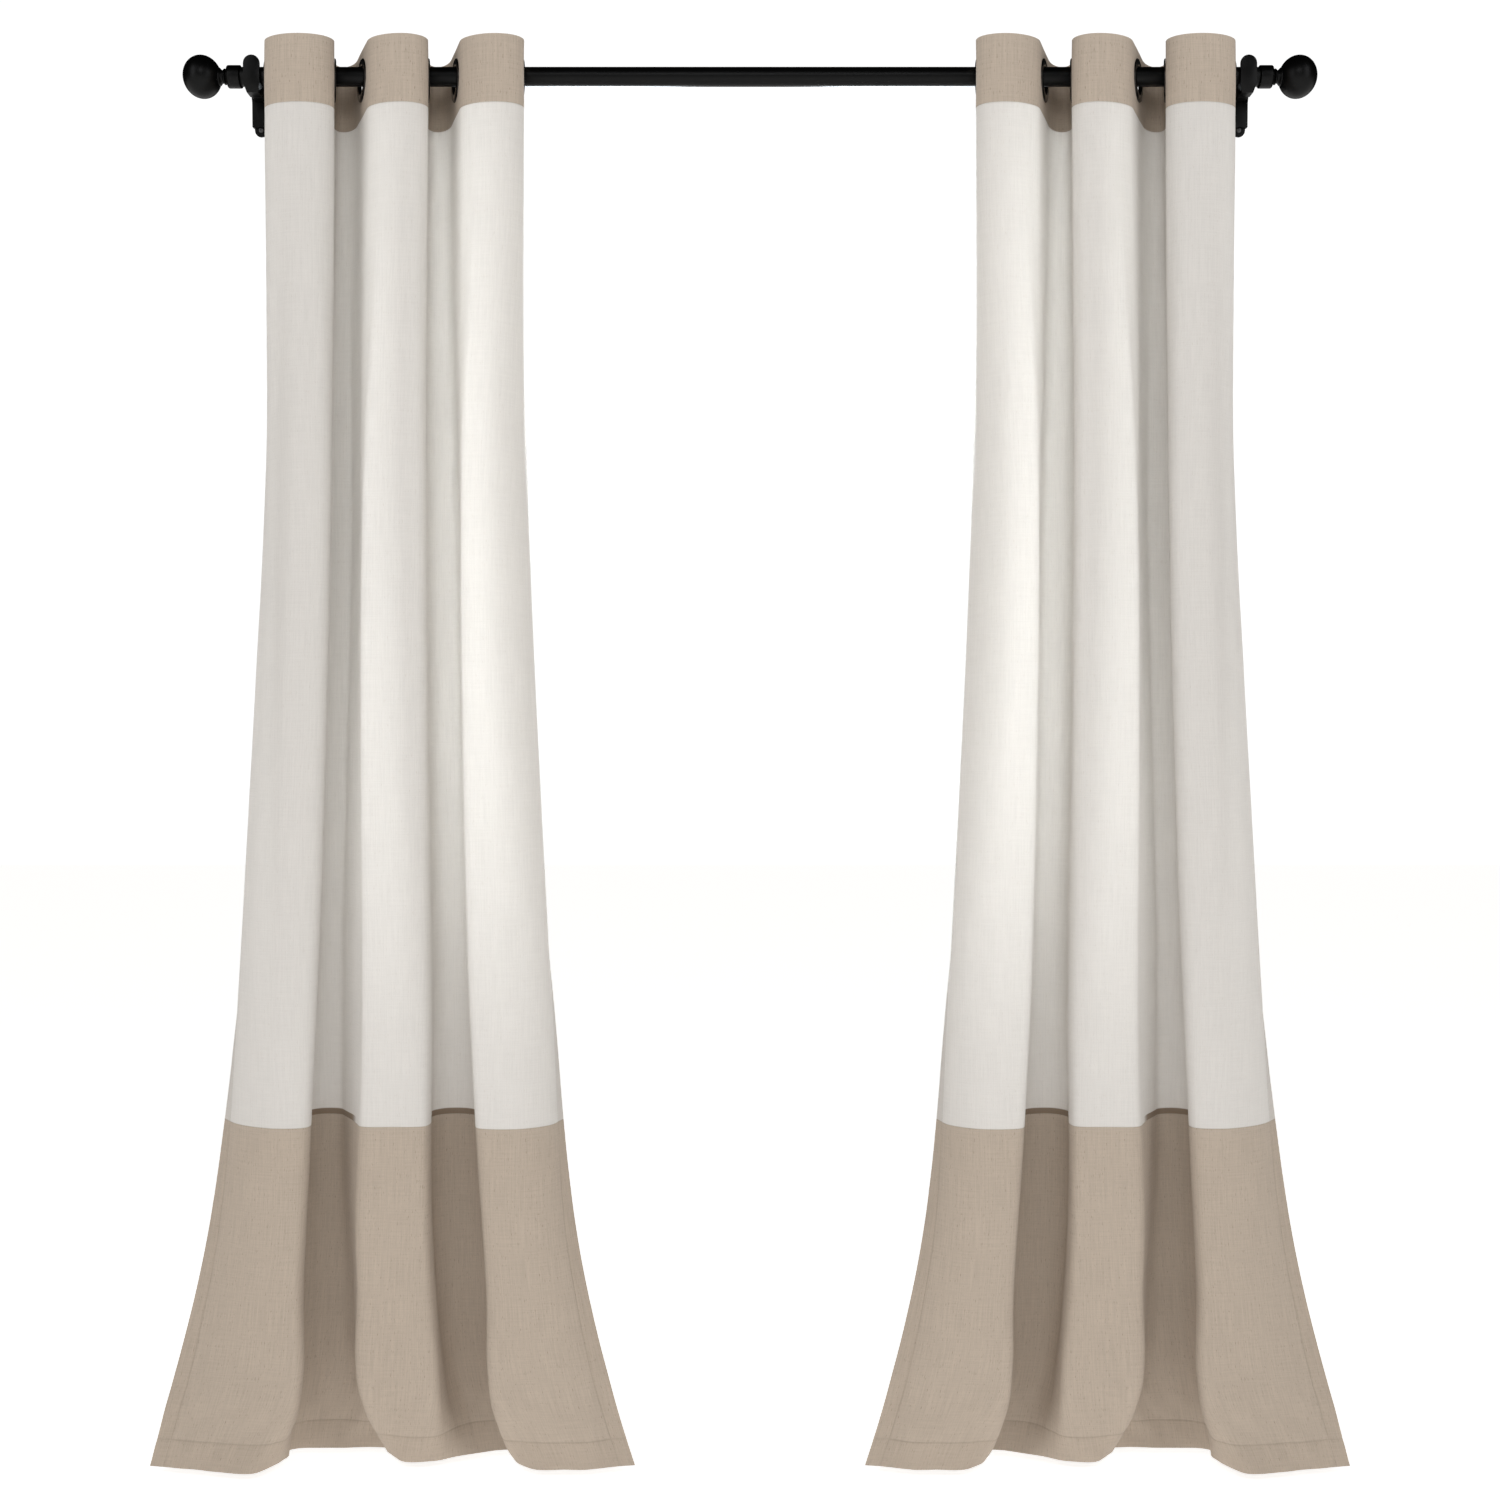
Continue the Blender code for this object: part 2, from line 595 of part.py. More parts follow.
def build_panel(side, name):
    levels = plans(CLOTH_FINENESS)
    top = cloth(f"{name}_top_band", side, 0, TOP_BAND, 1, OATMEAL_LINEN, levels)
    seam = PANEL_LENGTH - BOTTOM_BAND
    cloth(f"{name}_middle", side, TOP_BAND + GAP, seam, 5, WHITE_LINEN, levels)
    cloth(f"{name}_bottom_band", side, seam + GAP, PANEL_LENGTH, 3, OATMEAL_LINEN, levels)
    for number, (inward, lean) in enumerate(grommet_places(), 1):
        spot = (side * (FIRST_GROMMET - inward), ROD_Y, -GROMMET_SAG)
        # The outer face of a leaning wall looks out from the window and to the front or back.
        out = (side, -lean, 0) if number % 2 else (-side, lean, 0)
        build_grommet(side, name, number, along(spot, out), top)


SIDES = ((-1, "left"), (1, "right"))
build_rod()
for side, name in SIDES:
    build_bracket(side, name)
    build_finial(side, name)
    build_panel(side, name)
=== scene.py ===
import math

import bmesh
import bpy
import numpy as np
from mathutils import Matrix, Vector, noise


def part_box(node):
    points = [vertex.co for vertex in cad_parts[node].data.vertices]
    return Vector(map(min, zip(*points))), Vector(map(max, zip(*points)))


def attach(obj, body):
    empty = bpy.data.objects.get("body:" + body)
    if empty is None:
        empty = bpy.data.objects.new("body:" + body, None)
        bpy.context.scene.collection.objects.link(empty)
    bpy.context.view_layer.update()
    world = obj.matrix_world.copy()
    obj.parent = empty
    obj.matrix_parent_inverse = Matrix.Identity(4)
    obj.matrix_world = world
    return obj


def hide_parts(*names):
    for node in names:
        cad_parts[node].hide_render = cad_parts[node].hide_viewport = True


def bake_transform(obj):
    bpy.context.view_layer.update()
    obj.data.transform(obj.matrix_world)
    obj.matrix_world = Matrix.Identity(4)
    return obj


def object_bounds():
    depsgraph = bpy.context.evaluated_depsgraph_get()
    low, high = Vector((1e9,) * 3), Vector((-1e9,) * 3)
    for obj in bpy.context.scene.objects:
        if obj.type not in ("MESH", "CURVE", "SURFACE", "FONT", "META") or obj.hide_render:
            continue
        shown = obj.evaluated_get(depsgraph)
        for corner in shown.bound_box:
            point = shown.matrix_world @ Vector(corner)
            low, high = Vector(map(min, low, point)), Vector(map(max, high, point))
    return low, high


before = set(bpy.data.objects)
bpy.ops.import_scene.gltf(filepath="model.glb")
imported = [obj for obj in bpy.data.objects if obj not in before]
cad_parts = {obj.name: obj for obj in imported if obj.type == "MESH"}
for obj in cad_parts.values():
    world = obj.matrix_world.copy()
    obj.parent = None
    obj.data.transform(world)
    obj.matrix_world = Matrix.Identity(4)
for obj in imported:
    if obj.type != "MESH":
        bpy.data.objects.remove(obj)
cad_low, cad_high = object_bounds()

# The studio. A camera stands level in front of the window's middle, halfway up the panels,
# over a pale floor just under the hems.

CAMERA_DISTANCE = 2.79
CAMERA_DROP = 1.0239
CAMERA_LENS = 42.6
FLOOR_GAP = 0.013
FLOOR_HALF = 14.0

scene = bpy.context.scene
camera = bpy.data.objects.new("camera", bpy.data.cameras.new("camera"))
camera.data.lens = CAMERA_LENS
camera.data.sensor_width = 36.0
camera.location = (0, -CAMERA_DISTANCE, -CAMERA_DROP)
camera.rotation_euler = (math.pi / 2, 0, 0)
scene.collection.objects.link(camera)
scene.camera = camera
scene.view_settings.view_transform = "Standard"


def new_object(name, mesh, material=None):
    """A new piece at the origin, with one material."""
    obj = bpy.data.objects.new(name, mesh)
    scene.collection.objects.link(obj)
    if material is not None:
        mesh.materials.clear()
        mesh.materials.append(material)
    return obj


def new_material(name):
    """A material, its nodes and links, and its Principled shader."""
    material = bpy.data.materials.new(name)
    material.use_nodes = True
    return material, material.node_tree, material.node_tree.nodes["Principled BSDF"]


def feed(tree, node, values):
    """A node's inputs, by name or number, take plain values or other nodes' outputs."""
    for key, value in values.items():
        if isinstance(value, bpy.types.NodeSocket):
            tree.links.new(value, node.inputs[key])
        else:
            node.inputs[key].default_value = value
    return node


def new_node(tree, kind, values=None, **settings):
    """A node with its settings and its inputs' values."""
    node = tree.nodes.new(kind)
    for key, value in settings.items():
        setattr(node, key, value)
    return feed(tree, node, values or {})


def maths(tree, operation, a, b=0.0, clamp=False):
    values = {0: a, 1: b}
    return new_node(tree, "ShaderNodeMath", values, operation=operation, use_clamp=clamp).outputs[0]


floor_paint, floor_tree, floor_shader = new_material("floor_paint")
feed(floor_tree, floor_shader, {
    "Base Color": (0.93, 0.93, 0.925, 1), "Roughness": 0.95, "Specular IOR Level": 0.1,
    "Emission Color": (1, 1, 1, 1), "Emission Strength": 0.66})
floor_mesh = bpy.data.meshes.new("floor")
floor_z = cad_low.z - FLOOR_GAP
floor_mesh.from_pydata(
    [(x * FLOOR_HALF, y * FLOOR_HALF, floor_z) for x, y in ((-1, -1), (1, -1), (1, 1), (-1, 1))],
    [], [(0, 1, 2, 3)],
)
new_object("floor", floor_mesh, floor_paint)

world = bpy.data.worlds.new("studio")
scene.world = world
world.use_nodes = True
sky = world.node_tree
sky.nodes.clear()
path = new_node(sky, "ShaderNodeLightPath")
seen = new_node(sky, "ShaderNodeBackground", {"Color": (1, 1, 1, 1), "Strength": 1.05})
lit = new_node(sky, "ShaderNodeBackground", {"Color": (1, 0.972, 0.935, 1), "Strength": 0.38})
shiny = new_node(sky, "ShaderNodeBackground", {"Color": (1, 1, 1, 1), "Strength": 0.01})
unseen = new_node(sky, "ShaderNodeMixShader", {
    0: path.outputs["Is Glossy Ray"], 1: lit.outputs[0], 2: shiny.outputs[0]})
whole = new_node(sky, "ShaderNodeMixShader", {
    0: path.outputs["Is Camera Ray"], 1: unseen.outputs[0], 2: seen.outputs[0]})
new_node(sky, "ShaderNodeOutputWorld", {"Surface": whole.outputs[0]})


DAYLIGHT = (0.975, 0.985, 1)
WINDOW_LIGHT = (0.86, 0.94, 1.0)


def softbox(name, place, aim, size, power, spread=math.pi, colour=DAYLIGHT):
    """A rectangular studio light that points at a spot."""
    light = bpy.data.lights.new(name, "AREA")
    light.shape = "RECTANGLE"
    light.size, light.size_y = size
    light.energy = power
    light.spread = spread
    light.color = colour
    obj = bpy.data.objects.new(name, light)
    obj.location = place
    obj.rotation_euler = (Vector(aim) - Vector(place)).to_track_quat("-Z", "Y").to_euler()
    scene.collection.objects.link(obj)


softbox("left_box", (-2.4, -2.2, 0.5), (0, -0.1, -1.05), size=(1.2, 2.2), power=20)
softbox("right_box", (2.4, -2.2, 0.5), (0, -0.1, -1.05), size=(1.2, 2.2), power=20)
softbox("front_box", (0, -3.2, 0.9), (0, 0, -1.1), size=(1.6, 0.9), power=18)
softbox("low_box", (0, -2.5, -1.9), (0, 0, -2.0), size=(2.4, 0.4), power=1.3, spread=1.6)
for side in (-1, 1):
    softbox(f"glow_{side}", (0.28 * side, 0.5, -0.62), (0.36 * side, -0.1, -0.66),
            size=(0.3, 1.3), power=5.2, spread=1.2, colour=WINDOW_LIGHT)

# Black paint. Rod, brackets and finials are steel under satin black enamel, which dries with
# a fine skin and thins to a faint sheen on the edges. Rings, screws and threads have the same
# kind of surface, in colours of their own.


def new_group(name, inputs, outputs, kind="ShaderNodeTree"):
    """A node group with named sockets, what it is given, and its output node."""
    group = bpy.data.node_groups.new(name, kind)
    for way, sockets in (("INPUT", inputs), ("OUTPUT", outputs)):
        for socket, form in sockets.items():
            group.interface.new_socket(socket, in_out=way, socket_type=f"NodeSocket{form}")
    return group, group.nodes.new("NodeGroupInput").outputs, group.nodes.new("NodeGroupOutput")


def placed_group(tree, group, values):
    return new_node(tree, "ShaderNodeGroup", values, node_tree=group).outputs


def ramp(tree, value, start, end, low=0.0, high=1.0, kind="LINEAR"):
    """What goes from low to high while a value goes from start to end."""
    return new_node(tree, "ShaderNodeMapRange", {
        "Value": value, "From Min": start, "From Max": end, "To Min": low, "To Max": high},
        interpolation_type=kind).outputs[0]


def coated_surface():
    """Colour, roughness and relief of a coated metal surface with slightly worn edges."""
    group, given, out = new_group(
        "coated_surface",
        {"Colour": "Color", "Worn Colour": "Color", "Wear": "Float", "Roughness": "Float",
         "Relief": "Float"},
        {"Colour": "Color", "Roughness": "Float", "Normal": "Vector"})
    place = new_node(group, "ShaderNodeTexCoord").outputs["Object"]
    cloud = new_node(group, "ShaderNodeTexNoise", {"Vector": place, "Scale": 60.0, "Detail": 4.0})
    skin = new_node(group, "ShaderNodeTexNoise", {"Vector": place, "Scale": 900.0, "Detail": 2.0})
    point = new_node(group, "ShaderNodeNewGeometry").outputs["Pointiness"]
    broken = maths(group, "MULTIPLY", ramp(group, point, 0.52, 0.62), cloud.outputs["Fac"])
    worn = maths(group, "MULTIPLY", broken, given["Wear"], clamp=True)
    mixed = new_node(group, "ShaderNodeMix", {0: worn, 6: given["Colour"], 7: given["Worn Colour"]},
                     data_type="RGBA")
    uneven = maths(group, "MULTIPLY", maths(group, "SUBTRACT", cloud.outputs["Fac"], 0.5), 0.08)
    rough = maths(group, "ADD", given["Roughness"], uneven, clamp=True)
    bump = new_node(group, "ShaderNodeBump", {
        "Strength": given["Relief"], "Distance": 0.0002, "Height": skin.outputs["Fac"]})
    feed(group, out, {
        "Colour": mixed.outputs[2], "Roughness": rough, "Normal": bump.outputs[0]})
    return group


COATED_SURFACE = coated_surface()


def coated_material(name, colour, worn, wear, roughness, relief, metallic=0.0, coat=0.0):
    """A coated metal or thread, from its colour and the colour of its worn edges."""
    material, tree, shader = new_material(name)
    skin = placed_group(tree, COATED_SURFACE, {
        "Colour": (*colour, 1), "Worn Colour": (*worn, 1), "Wear": wear,
        "Roughness": roughness, "Relief": relief})
    feed(tree, shader, {
        "Base Color": skin["Colour"], "Roughness": skin["Roughness"], "Normal": skin["Normal"],
        "Metallic": metallic, "Specular IOR Level": 0.15, "Coat Weight": coat,
        "Coat Roughness": 0.25})
    return material


BLACK_ENAMEL = coated_material(
    "black_enamel", (0.0008, 0.0008, 0.0008), (0.005, 0.0048, 0.0046),
    wear=0.4, roughness=0.38, relief=0.01)
DARK_BRONZE = coated_material(
    "dark_bronze", (0.022, 0.019, 0.017), (0.10, 0.09, 0.08),
    wear=0.5, roughness=0.20, relief=0.05, metallic=0.9, coat=0.2)
BLACK_STEEL = coated_material(
    "black_steel", (0.055, 0.055, 0.056), (0.30, 0.30, 0.30),
    wear=0.9, roughness=0.30, relief=0.3, metallic=0.95)

# Brackets. Each is a pressed wall plate, a flat arm on edge, a broad upright with a round
# tongue and an open cradle with a raised front tab, all steel with softened edges.

SIDES = ((-1, "left"), (1, "right"))
SOFT_EDGE = 0.0006
SHARP = math.radians(35)
FLAT = math.radians(3)
WELD_REACH = 0.00002


def softened_copy(node):
    """A copy of a CAD solid with its sharp edges rounded over."""
    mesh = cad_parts[node].data.copy()
    shape = bmesh.new()
    shape.from_mesh(mesh)
    bmesh.ops.remove_doubles(shape, verts=shape.verts, dist=WELD_REACH)
    bmesh.ops.dissolve_limit(shape, angle_limit=FLAT, verts=shape.verts, edges=shape.edges)
    bmesh.ops.recalc_face_normals(shape, faces=shape.faces)
    shape.to_mesh(mesh)
    shape.free()
    obj = new_object(f"{node}_painted", mesh, BLACK_ENAMEL)
    bevel = obj.modifiers.new("soft_edges", "BEVEL")
    bevel.width = SOFT_EDGE
    bevel.segments = 3
    bevel.limit_method = "ANGLE"
    bevel.angle_limit = SHARP
    bevel.harden_normals = True
    mesh.shade_smooth()
    return obj


def fit(piece, node, body):
    """The piece stands for a CAD node, whose solid it hides, and moves with a body."""
    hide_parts(node)
    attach(piece, body)


for _, name in SIDES:
    for part in ("wall_plate", "arm", "upright", "cradle"):
        node = f"{name}_{part}"
        fit(softened_copy(node), node, "brackets")

# Screws. Two countersunk screws hold each wall plate and one pan-head screw locks each
# upright to its arm. Blackened steel, with a cross recess pressed into the head.

RECESS_WIDTH = 0.0010
RECESS_DEPTH = 0.0012
RECESS_OVERRUN = 1.15
SCREW_SIDES = 40
WALL_SHANK = 0.51
LOCK_SHANK = 0.47


def turned(name, profile, place, sides, material, closed=True):
    """A profile of (radius, height) spun about local Z. An open one starts and ends on the axis."""
    shape = bmesh.new()
    rings = []
    for radius, height in profile:
        if radius < 1e-7:
            rings.append([shape.verts.new((0, 0, height))] * sides)
            continue
        angles = [2 * math.pi * k / sides for k in range(sides)]
        rings.append([
            shape.verts.new((radius * math.cos(a), radius * math.sin(a), height)) for a in angles])
    for one, two in zip(rings, rings[1:] + rings[: int(closed)]):
        for k in range(sides):
            n = (k + 1) % sides
            corners = []
            for corner in (one[k], one[n], two[n], two[k]):
                if corner not in corners:
                    corners.append(corner)
            if len(corners) > 2:
                shape.faces.new(corners)
    bmesh.ops.recalc_face_normals(shape, faces=shape.faces)
    bmesh.ops.transform(shape, matrix=place, verts=shape.verts)
    mesh = bpy.data.meshes.new(name)
    shape.to_mesh(mesh)
    shape.free()
    mesh.shade_smooth()
    mesh.set_sharp_from_angle(angle=math.radians(50))
    return new_object(name, mesh, material)


def along(origin, direction, up=(0, 0, 1)):
    """The matrix that puts local +Z along a direction, with its origin at a point."""
    z = Vector(direction).normalized()
    x = Vector(up).cross(z).normalized()
    y = z.cross(x)
    return Matrix.Translation(Vector(origin)) @ Matrix((x, y, z)).transposed().to_4x4()


def finished(obj):
    """The object's modifiers are made part of its mesh."""
    graph = bpy.context.evaluated_depsgraph_get()
    graph.update()
    mesh = bpy.data.meshes.new_from_object(obj.evaluated_get(graph))
    obj.modifiers.clear()
    obj.data = mesh
    return obj


def cross_screw(name, node, head_profile, turn):
    """A screw with a cross recess, in the place of its CAD solid, which points along -Y."""
    low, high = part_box(node)
    place = along(((low.x + high.x) / 2, low.y, (low.z + high.z) / 2), (0, -1, 0))
    screw = turned(name, head_profile, place, SCREW_SIDES, BLACK_STEEL, closed=False)
    blades = bmesh.new()
    reach = head_profile[1][0] * RECESS_OVERRUN
    for angle in (turn, turn + math.pi / 2):
        size = Matrix.Diagonal((reach, RECESS_WIDTH, 2 * RECESS_DEPTH, 1))
        bmesh.ops.create_cube(blades, size=1, matrix=Matrix.Rotation(angle, 4, "Z") @ size)
    bmesh.ops.transform(blades, matrix=place, verts=blades.verts)
    cutter_mesh = bpy.data.meshes.new(f"{name}_cross")
    blades.to_mesh(cutter_mesh)
    blades.free()
    cutter = new_object(f"{name}_cross", cutter_mesh)
    recess = screw.modifiers.new("recess", "BOOLEAN")
    recess.object = cutter
    recess.solver = "EXACT"
    recess.use_self = True
    finished(screw)
    bpy.data.objects.remove(cutter)
    fit(screw, node, "brackets")


def screw_size(node):
    """A packed screw's length and its head's radius."""
    low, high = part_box(node)
    return high.y - low.y, (high.x - low.x) / 2


for side, name in SIDES:
    for which, turn in (("upper", 0.5), ("lower", 1.1)):
        node = f"{name}_{which}_wall_screw"
        length, head = screw_size(node)
        shank = head * WALL_SHANK
        profile = [(0, -0.0001), (head * 0.7, -0.0001), (head, -0.0003), (head, -0.0005),
                   (shank, -0.0023), (shank, -length * 0.85), (0, -length)]
        cross_screw(f"{node}_turned", node, profile, turn + 0.4 * side)
    node = f"{name}_lock_screw"
    length, head = screw_size(node)
    shank = head * LOCK_SHANK
    profile = [(0, 0), (head * 0.45, -0.00012), (head * 0.78, -0.0005), (head * 0.94, -0.0011),
               (head, -0.0018), (head, -0.0026), (shank, -0.0026), (shank, -length), (0, -length)]
    cross_screw(f"{node}_turned", node, profile, 0.3 * side)

# Rod. One steel tube 28.6 mm across under black enamel. The plugs pressed into its ends
# stay as they are packed, inside it.

ROD_LOW, ROD_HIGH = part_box("rod_tube")
ROD_Y = (ROD_LOW.y + ROD_HIGH.y) / 2
ROD_RADIUS = (ROD_HIGH.z - ROD_LOW.z) / 2
ROD_HALF = ROD_HIGH.x
ROD_WALL = 0.0012
ROD_BURR = 0.0004
ROD_SIDES = 96

inner = ROD_RADIUS - ROD_WALL
profile = [(ROD_RADIUS - ROD_BURR, ROD_HALF), (ROD_RADIUS, ROD_HALF - ROD_BURR)]
profile += [(ROD_RADIUS, ROD_HALF * (1 - k / 10)) for k in range(1, 20)]
profile += [(ROD_RADIUS, ROD_BURR - ROD_HALF), (ROD_RADIUS - ROD_BURR, -ROD_HALF),
            (inner, -ROD_HALF), (inner, ROD_HALF)]
rod = turned("rod_painted", profile, along((0, ROD_Y, 0), (1, 0, 0)), ROD_SIDES, BLACK_ENAMEL)
fit(rod, "rod_tube", "rod")
for _, name in SIDES:
    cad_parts[f"{name}_rod_plug"].material_slots[0].material = BLACK_ENAMEL

# Finials. A ferrule slips over each end of the rod, then comes a turned neck with a bead,
# and a ball a little flattened along the rod, all black. A steel stud joins them inside.

GAP = 0.0003
FERRULE_CAP = 0.0027
FERRULE_ROUND = 0.0009
NECK_RIM = 0.0132
NECK_SIDES = 72
BALL_HALF = 0.0285
BALL_STEPS = 56
BALL_SIDES = 112
STUD_BORE = 0.0043
STUD_DEPTH = 0.0143


def rounded(points, radius, steps=4):
    """A closed outline of (radius, height) whose corners are cut to small arcs."""
    found = []
    for k, corner in enumerate(points):
        corner = Vector(corner)
        before = Vector(points[k - 1]) - corner
        after = Vector(points[(k + 1) % len(points)]) - corner
        cut = min(radius, before.length * 0.45, after.length * 0.45)
        one = corner + before.normalized() * cut
        two = corner + after.normalized() * cut
        for j in range(steps + 1):
            t = j / steps
            found.append(tuple(one * (1 - t) ** 2 + corner * 2 * t * (1 - t) + two * t**2))
    return found


for side, name in SIDES:
    out = (side, 0, 0)
    low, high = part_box(f"{name}_finial_ferrule")
    length = high.x - low.x
    radius = (high.z - low.z) / 2
    foot = low.x if side > 0 else high.x
    inside = ROD_RADIUS + GAP
    shelf = length - FERRULE_CAP
    outline = [(radius, length), (radius, 0), (inside, 0), (inside, shelf), (STUD_BORE, shelf),
               (STUD_BORE, length)]
    ferrule = turned(f"{name}_ferrule_turned", rounded(outline, FERRULE_ROUND),
                     along((foot, ROD_Y, 0), out), ROD_SIDES, BLACK_ENAMEL)
    fit(ferrule, f"{name}_finial_ferrule", f"{name}_finial")

    low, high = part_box(f"{name}_finial_neck")
    start = low.x if side > 0 else high.x
    ball_low, ball_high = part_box(f"{name}_finial_ball")
    ball_radius = (ball_high.z - ball_low.z) / 2
    tip = ball_high.x if side > 0 else ball_low.x
    centre_reach = abs(tip - start) - BALL_HALF

    def ball_offset(r):
        """How far before its middle the ball's surface is, at a radius from its axis."""
        return BALL_HALF * math.sqrt(1 - (r / ball_radius) ** 2)

    rim = centre_reach - ball_offset(NECK_RIM) - GAP
    keys = [(radius - 0.0004, 0.0), (radius, 0.0005), (radius - 0.0008, 0.0016),
            (0.0112, 0.0030), (0.0098, 0.0042), (0.0104, 0.0050), (0.0118, 0.0058),
            (0.0120, 0.0065), (0.0117, 0.0072), (0.0103, 0.0080), (0.0097, 0.0090),
            (0.0098, 0.0102), (0.0106, 0.0116), (0.0122, 0.0130), (NECK_RIM, 0.0139)]
    profile = [(STUD_BORE, 0.0)] + keys + [(NECK_RIM, rim)]
    for r in ((NECK_RIM + STUD_BORE) / 2, STUD_BORE):
        profile.append((r, centre_reach - ball_offset(r) - GAP))
    place = along((start, ROD_Y, 0), out)
    neck = turned(f"{name}_neck_turned", profile, place, NECK_SIDES, BLACK_ENAMEL)
    fit(neck, f"{name}_finial_neck", f"{name}_finial")

    first = math.asin(STUD_BORE / ball_radius)
    angles = [first + (math.pi - first) * k / BALL_STEPS for k in range(BALL_STEPS + 1)]
    profile = [(ball_radius * math.sin(a), centre_reach - BALL_HALF * math.cos(a)) for a in angles]
    profile[-1] = (0.0, profile[-1][1])
    depth = centre_reach - ball_offset(STUD_BORE) + STUD_DEPTH
    profile = [*reversed(profile), (STUD_BORE, depth), (0.0, depth)]
    ball = turned(f"{name}_ball_turned", profile, place, BALL_SIDES, BLACK_ENAMEL, closed=False)
    fit(ball, f"{name}_finial_ball", f"{name}_finial")
    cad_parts[f"{name}_finial_stud"].material_slots[0].material = BLACK_STEEL

# Grommets. Six snap-together rings to a panel: a domed front ring whose barrel passes
# through the cloth, and a back ring pressed over it. Dark bronze, smooth and fairly shiny.

GROMMETS = 6
GROMMET_BORE = 0.041
GROMMET_OUTER = 0.064
FLANGE = 0.0026
FRONT_RIM = 0.0004
BACK_RIM = 0.0003
DOME_HEIGHT = FLANGE - 0.0004
BARREL_WALL = 0.0017
BARREL_CHAMFER = 0.0003
RING_SIDES = 96
CLOTH_THICKNESS = 0.0012
RING_FACE = CLOTH_THICKNESS / 2 + GAP
BARREL_END = -RING_FACE - FLANGE * 0.7
# How far each ring's axis is turned from the rod's, in radians, from the panel's outer edge in.
LEANS = (0.09, 0.24, 0.42, 0.20, 0.33, 0.22)
GROMMET_AXES = {}
bore = GROMMET_BORE / 2
outer = GROMMET_OUTER / 2
barrel = bore + BARREL_WALL


def grommet_centre(body):
    """The middle of the box round a grommet's two rings."""
    low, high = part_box(f"{body}_front")
    back_low, back_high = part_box(f"{body}_back")
    return (Vector(map(min, low, back_low)) + Vector(map(max, high, back_high))) / 2


def dome(near, far, face, height, steps=10):
    """The rolled top of a flange between two radii, as an arch of points."""
    middle = (near + far) / 2
    half = (far - near) / 2
    return [(middle + half * math.cos(math.pi * k / steps),
             face + height * math.sin(math.pi * k / steps) ** 0.7) for k in range(steps + 1)]


for side, name in SIDES:
    for number in range(1, GROMMETS + 1):
        lean = LEANS[number - 1]
        out = (side, -lean, 0) if number % 2 else (-side, lean, 0)
        body = f"{name}_grommet_{number}"
        centre = grommet_centre(body)
        GROMMET_AXES[name, number] = (centre, Vector(out).normalized())
        front_profile = [(outer, RING_FACE)]
        front_profile += dome(bore, outer, RING_FACE + FRONT_RIM, DOME_HEIGHT)
        front_profile += [(bore, BARREL_END + BARREL_CHAMFER), (bore + BARREL_CHAMFER, BARREL_END),
                          (barrel, BARREL_END), (barrel, RING_FACE)]
        hole = barrel + GAP
        arch = dome(hole, outer, RING_FACE + BACK_RIM, DOME_HEIGHT)
        back_profile = [(outer, -RING_FACE)] + [(r, -z) for r, z in arch] + [(hole, -RING_FACE)]
        for which, profile in (("front", front_profile), ("back", back_profile)):
            ring = turned(f"{name}_ring_{number}_{which}", profile, along(centre, out), RING_SIDES,
                          DARK_BRONZE)
            fit(ring, f"{body}_{which}", body)

# Curtain panels. Each is sewn from an oatmeal top band, a white middle and an oatmeal bottom
# band of slubbed linen, 1.016 by 2.134 m, with turned side hems and a deep bottom hem. The
# cloth runs in deep folds from ring to ring and flares towards the hem.

PANEL_WIDTH = 1.016
PANEL_LENGTH = 2.134
TOP_BAND = 0.1016
BOTTOM_BAND = 0.508
SEAM = PANEL_LENGTH - BOTTOM_BAND
PANEL_TOP = cad_high.z
FRONT_FOLD = 0.099
BACK_FOLD = 0.0435
FRONT_DEPTH = 0.066
BACK_DEPTH = 0.066
GROMMET_SPACING = 0.1712
EDGE_TO_GROMMET = 0.080
STRAIGHT = GROMMET_OUTER / 2 + 0.0025
TOP_ZONE = 0.05
SETTLED = 0.45
FIRST_GROMMET = GROMMET_AXES["right", 1][0].x
GROMMET_DROP = 0.046
SIDE_HEM = 0.025
BOTTOM_HEM = 0.040
HEM_LINE = PANEL_LENGTH - BOTTOM_HEM
SEAM_ALLOWANCE = 0.009
FURROW = 0.0006
HEM_EXTRA = 0.0009
STRIP_COLUMNS = 40
FLAP_COLUMNS = 19

